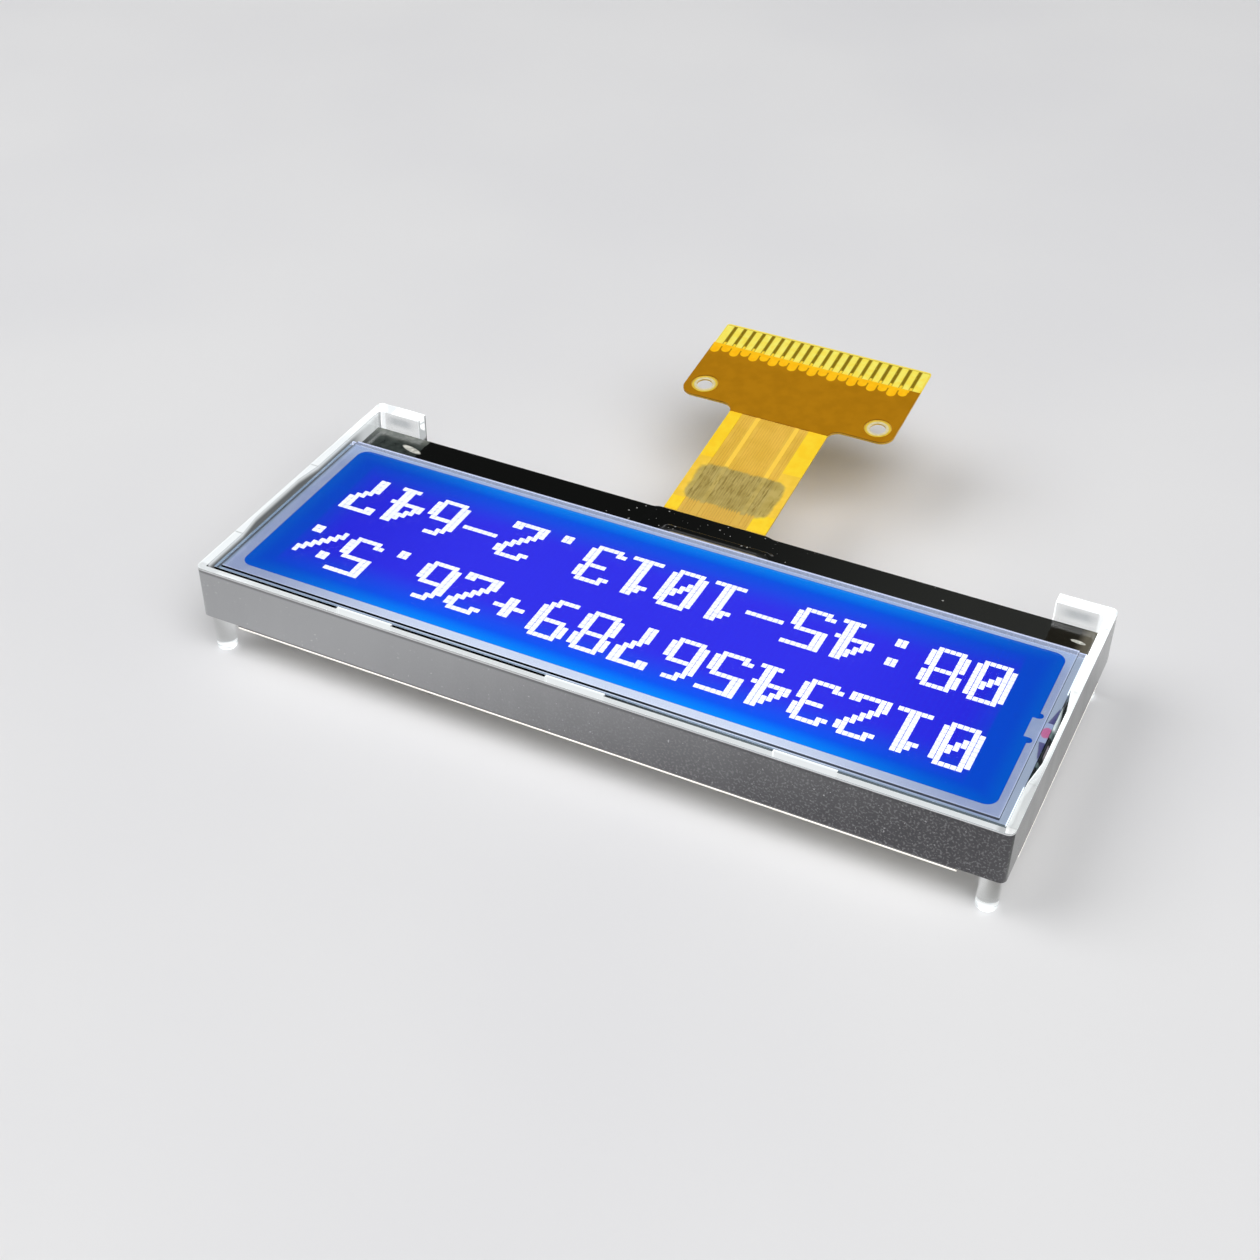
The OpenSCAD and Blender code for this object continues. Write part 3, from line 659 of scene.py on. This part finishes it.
seal_dim = glue.blend(glue.step(glue.x, -dim_x, -dim_x + 1.0), paint(152, 166, 190), paint(130, 152, 178))
outer_left = glue.step(glue.x, dim_x + 0.1, dim_x + 0.2)
outer_right = glue.step(glue.x, -dim_x + 0.2, -dim_x + 0.1)
outer_near = glue.step(glue.y, dim_y - 0.35, dim_y - 0.25)
seal_tone = glue.blend(outer_left | outer_right | outer_near, seal_tone, seal_dim)
beside_port = abs(glue.y - port_y) - port_w / 2
shade = (
    glue.step(glue.x + 0.2 * beside_port, -dim_x, -dim_x - 0.08)
    * glue.step(beside_port, *port_shade_span)
)
glue.wear(
    base_color=glue_grey,
    emission_color=glue.blend(shade, seal_tone, paint(66, 66, 122)),
)
keep("perimeter_seal", glue)


# Liquid crystal: the blue field. It is azure at its rim, where no electrodes lie, and turns violet towards
# the matrix, where the fine gaps between the unlit dots show as a faint grid.
dot_pitch_x = 0.38
dot_pitch_y = 0.41
dot_columns = 128
dot_rows = 32
dot_gap = 0.045
bar_gap = 0.03
grid_share = 0.3
rim_line_share = 0.6
end_fade_span = (11.0, 27.0)
near_fade_span = (-6.0, 6.0)
bare_fade_span = (0.0, 1.4)
violet_fade_span = (0.6, 4.4)
unlit_blue = (0.0, 0.005, 0.06, 1)
whole_pitches = 100
dots_lo, dots_hi = part_box("lit_dots")
field_lo, field_hi = part_box("liquid_crystal")
field_y = (field_lo.y + field_hi.y) / 2
half_matrix_x = dot_columns * dot_pitch_x / 2
half_matrix_y = dot_rows * dot_pitch_y / 2
matrix_x = dots_lo.x - bar_gap / 2 + half_matrix_x

crystal = Finish("blue_field", roughness=0.3, specular_ior_level=0.0, emission_strength=1.11)
along = crystal.x - matrix_x
across = crystal.y - field_y
rim = crystal.maths("MINIMUM", field_hi.x - abs(crystal.x), field_hi.y - field_y - abs(across))


def grid_line(place, pitch):
    """1 in the gaps between dots that repeat at the pitch, 0 on the dots."""
    share = crystal.maths("FRACT", place / pitch + whole_pitches)
    return crystal.step(abs(share - 0.5), 0.5 - dot_gap / pitch, 0.5)


in_matrix = crystal.step(
    crystal.maths("MINIMUM", half_matrix_x - abs(along), half_matrix_y - abs(across)), -0.1, 0.2
)
grid = in_matrix * (grid_line(along, dot_pitch_x) | grid_line(across, dot_pitch_y))
towards_end = crystal.step(abs(crystal.x), *end_fade_span)
nearness = crystal.step(across, *near_fade_span)
rim_line = crystal.step(rim, 0.08, 0.02)
long_rim = crystal.blend(nearness, paint(2, 130, 236), paint(4, 138, 254))
long_edge = crystal.blend(nearness, paint(4, 86, 226), paint(10, 90, 244))
rim_tone = crystal.blend(towards_end, long_rim, paint(2, 86, 197))
edge_tone = crystal.blend(towards_end, long_edge, paint(6, 70, 197))
inner_tone = crystal.blend(towards_end, paint(54, 48, 234), paint(40, 36, 216))
bare_tone = crystal.blend(crystal.step(rim, *bare_fade_span), rim_tone, edge_tone)
dot_tone = crystal.blend(crystal.step(rim, *violet_fade_span), edge_tone, inner_tone)
field_tone = crystal.blend(in_matrix, bare_tone, dot_tone)
field_tone = crystal.blend(grid * grid_share, field_tone, paint(16, 70, 240))
field_tone = crystal.blend(rim_line * rim_line_share, field_tone, paint(10, 70, 170))
crystal.wear(base_color=unlit_blue, emission_color=field_tone)
keep("liquid_crystal", crystal)


# Lit dots: each is one square of the matrix that lets the backlight through.
# They stand on the bars of the solid, one square for each dot that a bar covers.
dot_taper = 0.99
lit_gap = 0.044


def nodes_tree(name, inputs):
    """An empty Geometry Nodes tree with named inputs, given as (name, socket type) pairs."""
    tree = bpy.data.node_groups.new(name, "GeometryNodeTree")
    for label, kind in inputs:
        tree.interface.new_socket(label, in_out="INPUT", socket_type=kind)
    tree.interface.new_socket("Geometry", in_out="OUTPUT", socket_type="NodeSocketGeometry")
    return tree, tree.nodes.new("NodeGroupInput"), tree.nodes.new("NodeGroupOutput")


def grown(name, tree, values):
    """The plain mesh that a Geometry Nodes tree makes from its named inputs."""
    draft = bpy.data.objects.new(name, bpy.data.meshes.new(name))
    modifier = draft.modifiers.new(name, "NODES")
    modifier.node_group = tree
    for item in tree.interface.items_tree:
        if item.in_out == "INPUT" and item.name in values:
            modifier[item.identifier] = values[item.name]
    return finished(draft)


white_dot = Finish("lit_dot", roughness=0.3, emission_strength=1.06)
white_dot.wear(
    base_color=(0.8, 0.8, 0.85, 1),
    emission_color=white_dot.mottle(2.0, paint(246, 247, 255), paint(255, 255, 255)),
)
tree, given, made = nodes_tree("dot_matrix", (
    ("Bars", "NodeSocketObject"), ("Columns", "NodeSocketInt"), ("Rows", "NodeSocketInt"),
    ("Spread", "NodeSocketVector"), ("Centre", "NodeSocketVector"), ("Dot", "NodeSocketVector"),
    ("Finish", "NodeSocketMaterial"),
))
spread = wired(tree, "ShaderNodeSeparateXYZ", {}, {0: given.outputs["Spread"]})
lattice = wired(tree, "GeometryNodeMeshGrid", {}, {
    "Size X": spread.outputs[0], "Size Y": spread.outputs[1],
    "Vertices X": given.outputs["Columns"], "Vertices Y": given.outputs["Rows"],
})
placed = wired(tree, "GeometryNodeTransform", {}, {
    "Geometry": lattice.outputs["Mesh"], "Translation": given.outputs["Centre"],
})
bars = wired(tree, "GeometryNodeObjectInfo", {}, {"Object": given.outputs["Bars"]})
under = wired(tree, "GeometryNodeRaycast", {}, {
    "Target Geometry": bars.outputs["Geometry"], "Ray Direction": (0, 0, 1), "Ray Length": MM,
})
square_block = wired(tree, "GeometryNodeMeshCube", {}, {"Size": given.outputs["Dot"]})
facing = wired(tree, "ShaderNodeSeparateXYZ", {}, {0: wired(tree, "GeometryNodeInputNormal").outputs[0]})
upper = wired(tree, "FunctionNodeCompare", {"operation": "GREATER_THAN"}, {0: facing.outputs[2], 1: 0.5})
square = wired(tree, "GeometryNodeScaleElements", {}, {
    "Geometry": square_block.outputs["Mesh"], "Selection": upper.outputs[0], "Scale": dot_taper,
})
copies = wired(tree, "GeometryNodeInstanceOnPoints", {}, {
    "Points": placed.outputs["Geometry"], "Selection": under.outputs["Is Hit"],
    "Instance": square.outputs["Geometry"],
})
solid = wired(tree, "GeometryNodeRealizeInstances", {}, {"Geometry": copies.outputs["Instances"]})
dressed = wired(tree, "GeometryNodeSetMaterial", {}, {
    "Geometry": solid.outputs["Geometry"], "Material": given.outputs["Finish"],
})
tree.links.new(dressed.outputs["Geometry"], made.inputs["Geometry"])
dot_mesh = grown("lit_dot_squares", tree, {
    "Bars": nodes["lit_dots"], "Columns": dot_columns, "Rows": dot_rows,
    "Spread": ((dot_columns - 1) * dot_pitch_x * MM, (dot_rows - 1) * dot_pitch_y * MM, 0),
    "Centre": (matrix_x * MM, field_y * MM, (dots_lo.z + dots_hi.z) / 2 * MM),
    "Dot": ((dot_pitch_x - lit_gap) * MM, (dot_pitch_y - lit_gap) * MM, (dots_hi.z - dots_lo.z) * MM),
    "Finish": white_dot.material,
})
add_piece("lit_dot_squares", dot_mesh, white_dot, "lit_dot", "lit_dots")


# End seal: a drop of clear resin that closes the fill port on one short side of the cell.
# It swells out of the glass edge, and a tongue of it fills the port between the glasses.
pink_x = -27.2
pink_half_x = 0.3
pink_half_y = 0.52
drop_steps = 24
drop_rings = 12
drop_plan_power = 0.75
drop_side_power = 0.8
drop_taper = 0.25
drop_inset = 0.01
drop_edge = 0.002 * MM
pale_end_span = (-0.8, -1.2)
dark_end_span = (2.4, 2.7)
dark_band = (0.9, 1.2)
thin_band = (2.8, 0.25)
streak_band = (0.9, 0.6)
cell_gap = 0.05
tongue_gap = 0.005
tongue_edge = 0.2 * MM
seal_lo, seal_hi = part_box("end_seal")
drop_l = seal_hi.y - seal_lo.y
drop_mid_y = (seal_lo.y + seal_hi.y) / 2
drop_mid_z = (seal_lo.z + seal_hi.z) / 2
drop_h = cell_lo.x - seal_lo.x


def resin_drop():
    """A half drop on the glass edge: round in plan and round in height, closed at the back."""
    shape = bmesh.new()
    rows = []
    for i in range(drop_steps + 1):
        place = -1 + 2 * i / drop_steps
        swell = (1 - place * place) ** drop_plan_power
        half_h = (drop_mid_z - seal_lo.z - drop_inset) * (1 - drop_taper * place * place)
        row = []
        for j in range(drop_rings + 1):
            turn = math.pi * (j / drop_rings - 0.5)
            out = drop_h * swell * math.cos(turn) ** drop_side_power if 0 < j < drop_rings else 0.0
            row.append(shape.verts.new((
                (cell_lo.x - out) * MM - skin,
                (drop_mid_y + place * drop_l / 2) * MM,
                (drop_mid_z + half_h * math.sin(turn)) * MM,
            )))
        rows.append(row)
    for a, b in zip(rows, rows[1:]):
        for j in range(drop_rings):
            shape.faces.new((a[j], a[j + 1], b[j + 1], b[j]))
    shape.faces.new([row[0] for row in rows] + [row[-1] for row in reversed(rows)])
    bmesh.ops.remove_doubles(shape, verts=shape.verts, dist=weld)
    bmesh.ops.recalc_face_normals(shape, faces=shape.faces)
    return rounded("end_seal_drop", shape, drop_edge)


resin = Finish("end_resin", roughness=0.05)
from_mid = resin.y - drop_mid_y + (resin.noise(0.5) - 0.5) * 0.3


def resin_band(middle, half):
    """1 inside a band across the drop, given by its middle and half its width along the drop."""
    return resin.step(abs(from_mid - middle), half + 0.08, half - 0.08)


# The clear drop is painted opaque with what it shows: its pale end, dark bands and pink streak are painted
# reflection and refraction.
pale_end = resin.step(from_mid, *pale_end_span)
dark_end = resin.step(from_mid, *dark_end_span)
resin_reflection_tone = resin.blend(pale_end, paint(92, 110, 112), paint(216, 228, 230))
resin_reflection_tone = resin.blend(dark_end, resin_reflection_tone, paint(46, 62, 62))
resin_reflection_tone = resin.blend(resin_band(*dark_band), resin_reflection_tone, paint(4, 10, 18))
resin_reflection_tone = resin.blend(resin_band(*thin_band), resin_reflection_tone, paint(6, 14, 18))
streak = resin_band(*streak_band) * resin.step(resin.x, cell_lo.x - 0.16, cell_lo.x - 0.2)
resin.wear(base_color=resin.blend(streak, resin_reflection_tone, paint(196, 180, 188)))
add_piece("end_seal_drop", resin_drop(), resin, "clear_glue", "end_seal")
tongue = bmesh.new()
block(tongue, (cell_lo.x + 0.02, port_y - port_w / 2, cell_lo.z - cell_gap + tongue_gap),
      (seal_hi.x - 0.01, port_y + port_w / 2, cell_lo.z - tongue_gap))
port_resin = Finish("port_resin", roughness=0.5, emission_strength=1.0)
pink_u = (port_resin.x - pink_x) / pink_half_x
pink_v = (port_resin.y - port_y) / pink_half_y
pink = port_resin.step(pink_u * pink_u + pink_v * pink_v, 1.1, 0.8)
port_tone = port_resin.mottle(0.5, paint(144, 160, 197), paint(152, 166, 200))
port_resin.wear(
    base_color=glue_grey,
    emission_color=port_resin.blend(pink, port_tone, paint(184, 92, 142)),
)
tongue_mesh = rounded("end_seal_tongue", tongue, tongue_edge)
add_piece("end_seal_tongue", tongue_mesh, port_resin, "clear_glue", "end_seal")


# Front polariser: a clear grey film laid on the front glass, a little smaller than the glass.
# Its cut edges are dark, and the far one catches the light of the cell.
polariser_edge = 0.02 * MM
rim_glow = 0.22
near_film_glow = 0.09
clear_film = (0.96, 0.97, 1.0, 1)
film_cut = (0.03, 0.06, 0.12, 1)
polariser = Finish(
    "front_polariser", ior=1.49, transmission_weight=1.0, specular_tint=coated, emission_strength=1.0
)
film_facing = polariser.facing()
cut_side = polariser.step(1 - abs(film_facing[2]), 0.3, 0.8)
far_side = (
    polariser.step(abs(film_facing[1]), 0.5, 0.8)
    * polariser.step(polariser.y, film_lo.y + 0.08, film_lo.y + 0.05)
)
# The top edges at the ends and near side carry a painted highlight, and the near cut edge a dim painted glow.
rim_end = polariser.step(abs(polariser.x), film_hi.x - 0.10, film_hi.x - 0.06)
rim_side = polariser.step(polariser.y, film_hi.y - 0.10, film_hi.y - 0.06)
rim_top = polariser.step(polariser.z, film_hi.z - 0.03, film_hi.z - 0.015)
film_rim = (rim_end | rim_side) * rim_top
near_side = (
    cut_side
    * polariser.step(polariser.y, film_hi.y - 0.08, film_hi.y - 0.05)
    * polariser.step(polariser.x, *near_glow_span)
)
film_light = far_side | film_rim * rim_glow | near_side * near_film_glow
polariser.wear(
    base_color=polariser.blend(cut_side, clear_film, film_cut),
    metallic=cut_side,
    roughness=polariser.noise(6.0) * 0.03,
    emission_color=polariser.blend(film_light, no_light, paint(204, 212, 234)),
)
softened("front_polariser", polariser, "polariser", polariser_edge)


# Driver die and bonds: a bare silicon chip pressed face down on the ledge in a conductive film,
# which also holds the end of the tail.
die_edge = 0.02 * MM
silicon = Finish("silicon", metallic=0.1, roughness=0.3)
silicon.wear(base_color=silicon.mottle(0.4, paint(140, 129, 106), paint(156, 144, 120)))
softened("driver_die", silicon, "silicon", die_edge)
keep("bond_films", two_tone("bond_film", 0.5, 0.05, paint(150, 148, 136), paint(172, 170, 158)))


# Ledge cover: glossy black resin poured over the ledge, the chip and the end of the tail.
# It drapes over what it covers and ends in a round bead at its edges, with dust caught on it.
cover_columns = 220
cover_lines = 36
cover_ramp = 0.6
cover_bead = 0.1
cover_lip = 0.02
cover_t = 0.12
cover_sharp = math.radians(50)
film_lap_x = 4.05
film_lap_y = -8.4
film_rise = 0.13
die_bare = 0.3
die_clear = 0.02
ledge_lo, ledge_hi = part_box("ledge_cover")
ledge_z = ledge_lo.z
die_lo, die_hi = part_box("driver_die")
die_mid_x = (die_lo.x + die_hi.x) / 2
die_half_l = (die_hi.x - die_lo.x) / 2
die_rise = die_hi.z - ledge_z


def ease(value, low, high):
    """0 at low and 1 at high, with a smooth change between."""
    share = min(max((value - low) / (high - low), 0.0), 1.0)
    return share * share * (3 - 2 * share)


def under_cover(x, y):
    """How far what lies under the cover stands above the ledge."""
    on_film = ease(abs(x), film_lap_x + cover_ramp, film_lap_x) * ease(y, film_lap_y + cover_ramp, film_lap_y)
    past_die = abs(x - die_mid_x) - die_half_l - die_clear
    before_die = die_lo.y - die_clear - y
    on_die = ease(past_die, cover_ramp, 0.0) * ease(before_die, cover_ramp, 0.0)
    return max(film_rise * on_film, die_rise * on_die)


def draped_cover():
    """The cover as a sheet whose two sides follow what lies under it."""
    shape = bmesh.new()
    top, bottom = [], []
    for i in range(cover_columns + 1):
        x = ledge_lo.x + (ledge_hi.x - ledge_lo.x) * i / cover_columns
        near_y = ledge_hi.y - die_bare * ease(abs(x - die_mid_x), die_half_l, die_half_l - cover_ramp)
        top_row, bottom_row = [], []
        for j in range(cover_lines + 1):
            y = ledge_lo.y + (near_y - ledge_lo.y) * j / cover_lines
            border = min(x - ledge_lo.x, ledge_hi.x - x, y - ledge_lo.y, near_y - y)
            flank = 1 - min(border / cover_bead, 1.0)
            base = ledge_z + under_cover(x, y) + skin / MM
            height = base + cover_lip + (cover_t - cover_lip) * math.sqrt(1 - flank * flank)
            top_row.append(shape.verts.new((x * MM, y * MM, height * MM)))
            bottom_row.append(shape.verts.new((x * MM, y * MM, base * MM)))
        top.append(top_row)
        bottom.append(bottom_row)
    for i in range(cover_columns):
        for j in range(cover_lines):
            shape.faces.new((top[i][j], top[i + 1][j], top[i + 1][j + 1], top[i][j + 1]))
            shape.faces.new((bottom[i][j], bottom[i][j + 1], bottom[i + 1][j + 1], bottom[i + 1][j]))
    for i in range(cover_columns):
        shape.faces.new((top[i][0], bottom[i][0], bottom[i + 1][0], top[i + 1][0]))
        shape.faces.new((top[i][-1], top[i + 1][-1], bottom[i + 1][-1], bottom[i][-1]))
    for j in range(cover_lines):
        shape.faces.new((top[0][j], top[0][j + 1], bottom[0][j + 1], bottom[0][j]))
        shape.faces.new((top[-1][j], bottom[-1][j], bottom[-1][j + 1], top[-1][j + 1]))
    for face in shape.faces:
        face.smooth = True
    mesh = bpy.data.meshes.new("ledge_cover_drape")
    shape.to_mesh(mesh)
    shape.free()
    mesh.set_sharp_from_angle(angle=cover_sharp)
    return mesh


bare_left = 22.9
bare_right = -24.5
bare_back_span = (-8.6, -10.0)
bare_end_span = (-26.3, -27.2)
sheen_span = (4.0, -23.0)
dust_span = (9.0, 3.0)
dust_thin = 0.014
dust_thick = 0.26
dust_cells = 2.2
dust_small = 0.05
dust_large = 0.2
dust_white = 0.85
dust_matt = 0.5
lip_matt = 0.4
glint_spots = ((23.6, -8.4, 0.95, 0.3, 0.25), (-26.5, -8.4, 0.55, 0.18, 0.1))
gloss = Finish("ledge_black", roughness=0.1)
dust_cell = {"Vector": gloss.point, "Scale": dust_cells}
flat = {"voronoi_dimensions": "2D"}
dust_far = gloss.node("ShaderNodeTexVoronoi", flat, dust_cell, out="Distance")
dust_pick = gloss.split(gloss.node("ShaderNodeTexVoronoi", flat, dust_cell, out="Color"))
dust_size = dust_small + dust_pick[1] * dust_pick[1] * dust_large
dust_share = dust_thin + dust_thick * gloss.step(abs(gloss.x), *dust_span)
dust = gloss.step(dust_far, dust_size, 0.0) * gloss.step(dust_pick[0] - dust_share, 0.001, 0.0)
wavy_x = gloss.x + (gloss.noise(0.8) - 0.5) * 0.5
# Past the resin's ends the ledge is painted as bare glass: dark, turning lighter towards the hooks and walls
# in a painted reflection of them.
grey_left = gloss.blend(
    gloss.step(gloss.y, *bare_back_span),
    gloss.mottle(0.6, paint(40, 46, 44), paint(62, 68, 65)),
    gloss.mottle(0.5, paint(92, 97, 92), paint(122, 125, 118)),
)
grey_right = gloss.blend(gloss.step(wavy_x, *bare_end_span), paint(30, 28, 22), paint(100, 95, 83))
# The black turns greyer towards -X: a painted sheen.
resin_black_and_sheen = gloss.blend(gloss.step(gloss.x, *sheen_span), paint(13, 14, 13), paint(42, 43, 41))
past_left = gloss.step(wavy_x, bare_left - 0.06, bare_left + 0.06)
past_right = gloss.step(wavy_x, bare_right + 0.06, bare_right - 0.06)
ledge_tone = gloss.blend(past_left, resin_black_and_sheen, grey_left)
ledge_tone = gloss.blend(past_right, ledge_tone, grey_right)
# Two pale ovals near the ends of the ledge are painted glints.
glint_tone = gloss.mottle(0.3, paint(170, 170, 162), paint(222, 221, 212))
for glint_x, glint_y, glint_l, glint_w, slant in glint_spots:
    glint_u = (gloss.x - glint_x) / glint_l
    glint_v = (gloss.y - glint_y + (gloss.x - glint_x) * slant) / glint_w
    glint = gloss.step(glint_u * glint_u + glint_v * glint_v, 1.0, 0.6)
    ledge_tone = gloss.blend(glint, ledge_tone, glint_tone)
near_lip = gloss.step(gloss.y, ledge_hi.y - 0.6, ledge_hi.y - 0.3)
gloss.wear(
    base_color=gloss.blend(dust * dust_white, ledge_tone, paint(196, 196, 192)),
    roughness=0.08 + dust * dust_matt + gloss.noise(4.0) * 0.08 + near_lip * lip_matt,
)
add_piece("ledge_cover_drape", draped_cover(), gloss, "black_tape", "ledge_cover")


# Tail: T-shaped amber film that carries the tracks. Between the solder fingers its front is dark olive,
# its back shows their painted shade, and over the glue pad behind the neck it has a blotchy olive patch.
tail_lift = math.radians(7.5)
patch_inset = 0.9
patch_ragged = 0.7
patch_span = (1.05, 0.75)
patch_streaks = 0.6
pad_lo, pad_hi = part_box("neck_pad")
cover_lo = part_box("tail_cover")[0]


def along_tail(y):
    """How far a place lies along the film from the ledge, by its Y, a number or a wire."""
    return (ledge_y - y) / math.cos(tail_lift)


pad_start = along_tail(pad_hi.y) + 0.02
pad_end = along_tail(pad_lo.y) + 0.1


def glue_patch(finish):
    """1 where the glue pad shows through the film, with a soft uneven rim."""
    ragged = (finish.noise(1.2, 2.0) - 0.5) * patch_ragged
    from_mid_pad = abs(along_tail(finish.y) - (pad_start + pad_end) / 2)
    wide = abs(finish.x) - pad_hi.x + patch_inset + ragged
    long = from_mid_pad - (pad_end - pad_start) / 2 + patch_inset + ragged
    return finish.step(finish.distance(wide | 0.0, long | 0.0), *patch_span)


def patch_tone(finish):
    """Olive, paler in places, with darker broken streaks along the tail."""
    streaky = finish.step(finish.noise(0.16, 1.0, (1.0, 0.12, 1.0)), 0.55, 0.68)
    tone = finish.mottle(0.8, paint(162, 146, 84), paint(182, 166, 104))
    return finish.blend(streaky * patch_streaks, tone, paint(116, 102, 46))


def tail_root(finish):
    """1 between the glue pad and the ledge, where the film is even and hides its fine tracks."""
    return finish.step(along_tail(finish.y), pad_start + 0.35, pad_start)


def from_pitch(finish, pitch):
    """How far a point lies from the nearest of the middles that repeat across the tail at the pitch."""
    return abs(finish.maths("FRACT", finish.x / pitch + whole_pitches + 0.5) - 0.5) * pitch


finger_bare = 0.45
finger_pitch = 0.8
finger_edge = 0.24
finger_side = 8.25
shade_share = 0.5
film_end_y = part_box("tail_film")[0].y
root_tone = paint(221, 181, 82)
amber = Finish("amber_film", roughness=0.5, specular_ior_level=0.25)
past_cover = amber.step(amber.y, cover_lo.y + 0.1, cover_lo.y)
amber_tone = amber.mottle(1.5, paint(222, 180, 66), paint(232, 190, 78))
amber_tone = amber.blend(glue_patch(amber) * 0.9, amber_tone, patch_tone(amber))
amber_tone = amber.blend(tail_root(amber), amber_tone, root_tone)
amber_tone = amber.blend(past_cover, amber_tone, paint(250, 214, 60))
ragged_y = amber.y + (amber.noise(0.3) - 0.5) * 0.25
bare_y = cover_lo.y - finger_bare
among_fingers = amber.step(ragged_y, bare_y + 0.06, bare_y - 0.06)
past_tips = amber.step(amber.y, film_end_y + 0.22, film_end_y + 0.15)
beside_row = amber.step(abs(amber.x), finger_side, finger_side + 0.05)
among_finger_tone = amber.blend(past_tips | beside_row, paint(138, 114, 16), paint(246, 224, 90))
film_front = amber.step(amber.facing()[2], 0.3, 0.6)
finger_shade = (
    amber.step(from_pitch(amber, finger_pitch), finger_edge + 0.05, finger_edge)
    * amber.step(abs(amber.x), finger_side, finger_side - 0.05)
)
back_tone = amber.blend(finger_shade * shade_share, amber_tone, paint(176, 132, 38))
end_tone = amber.blend(film_front, back_tone, among_finger_tone)
amber.wear(base_color=amber.blend(among_fingers, amber_tone, end_tone))
keep("tail_film", amber)


# Tracks: copper under a clear lacquer, two broad ones at the sides, two single ones and fine ones between.
# The fine ones are so close that they read as one field, hardly lighter than the film.
broad_left = 2.86
broad_right = -2.41
single_x = 1.555
single_half = 0.18
thin_plate_start = 1.6
thin_plate_end = 6.4
plate_slant = 0.05
copper = Finish("copper_track", roughness=0.45, specular_ior_level=0.3)
broad = (
    copper.step(copper.x, broad_left - 0.02, broad_left)
    | copper.step(copper.x, broad_right + 0.02, broad_right)
)
single = copper.step(abs(abs(copper.x) - single_x), single_half + 0.02, single_half)
fine_tone = copper.mottle(1.5, paint(226, 184, 70), paint(236, 194, 82))
broad_tone = copper.mottle(0.8, paint(253, 208, 38), paint(255, 218, 52))
plate_reach = along_tail(copper.y) + copper.x * plate_slant
thin_plate = (
    copper.step(plate_reach, thin_plate_start, thin_plate_start + 0.08)
    * copper.step(plate_reach, thin_plate_end, thin_plate_end - 0.08)
)
thin_tone = copper.mottle(0.6, paint(244, 200, 62), paint(250, 208, 74))
copper_tone = copper.blend(single, fine_tone, paint(253, 210, 78))
copper_tone = copper.blend(tail_root(copper), copper_tone, root_tone)
copper_tone = copper.blend(broad, copper_tone, copper.blend(thin_plate, broad_tone, thin_tone))
copper.wear(base_color=copper.blend(glue_patch(copper) * 0.85, copper_tone, patch_tone(copper)))
keep("tail_traces", copper)


# Solder fingers and hole rings: copper plated with gold. The round ends of the fingers run on under
# the cover, and the rings are paler towards their holes.
ring_span = (0.74, 0.86)
gold = Finish("gold_plate", metallic=0.05)
gold_tone = gold.mottle(0.5, paint(255, 234, 84), paint(255, 244, 116))
# Each finger is painted darker olive towards its sides: painted shade between the raised fingers.
gold_side = from_pitch(gold, finger_pitch) * gold.step(abs(gold.x), finger_side - 0.3, finger_side - 0.4)
shaded_side = gold.step(gold_side, finger_edge - 0.03, finger_edge + 0.05)
gold.wear(
    base_color=gold.blend(shaded_side, gold_tone, paint(168, 142, 26)),
    roughness=0.35 + gold.noise(0.2) * 0.15,
)
keep("tail_contacts", gold)
ring_lo, ring_hi = part_box("hole_rings")
hole_y = (ring_lo.y + ring_hi.y) / 2
hole_x = ring_hi.x - (ring_hi.y - ring_lo.y) / math.cos(tail_lift) / 2
ring = Finish("ring_gold", metallic=0.2, roughness=0.35)
from_hole = ring.distance(abs(ring.x) - hole_x, ring.y - hole_y)
# The pale band next to each hole is a painted highlight on the hole's edge.
ring.wear(base_color=ring.blend(
    ring.step(from_hole, *ring_span),
    ring.mottle(0.2, paint(236, 222, 170), paint(246, 236, 196)),
    ring.mottle(0.3, paint(240, 206, 58), paint(250, 220, 78)),
))
keep("hole_rings", ring)


# Tail cover: brown lacquered film over the head, thin enough for the round ends of the fingers to show
# through it in orange.
finger_half = 0.35
finger_run = 0.88
finger_stagger = 0.3
finger_merge = 0.3
first_finger = -7.6
brown = Finish("brown_cover", specular_ior_level=0.2)
beside_finger = from_pitch(brown, finger_pitch)
beside_pair = from_pitch(brown, 2 * finger_pitch)
long_finger = brown.step(beside_pair, finger_pitch / 2 + 0.01, finger_pitch / 2 - 0.01)
round_y = cover_lo.y + finger_run - finger_half + long_finger * finger_stagger
past_round = (brown.y - round_y) | 0.0
from_finger = brown.distance(beside_finger, past_round)
merge_y = cover_lo.y + finger_merge
finger_shape = brown.step(from_finger, finger_half + 0.04, finger_half - 0.04)
merged = brown.step(brown.y, merge_y + 0.05, merge_y - 0.05)
in_row = brown.step(brown.x, first_finger - 0.02, first_finger + 0.02)
under_film = (finger_shape | merged) * in_row
brown_tone = brown.mottle(1.2, paint(166, 113, 2), paint(176, 121, 6))
orange_tone = brown.mottle(0.4, paint(252, 184, 10), paint(255, 196, 24))
brown.wear(
    base_color=brown.blend(under_film, brown_tone, orange_tone),
    roughness=0.44 + brown.noise(0.8) * 0.12,
)
keep("tail_cover", brown)


# Glue pad: a sheet of soft olive glue pressed on the back of the neck, uneven to the touch.
# It sticks the tail down where the module is built in.
pad_relief = 0.05
olive = two_tone("olive_glue", 0.7, 0.5, paint(108, 102, 66), paint(128, 120, 80))
olive.relief(olive.noise(0.4, 3.0), pad_relief)
keep("neck_pad", olive)
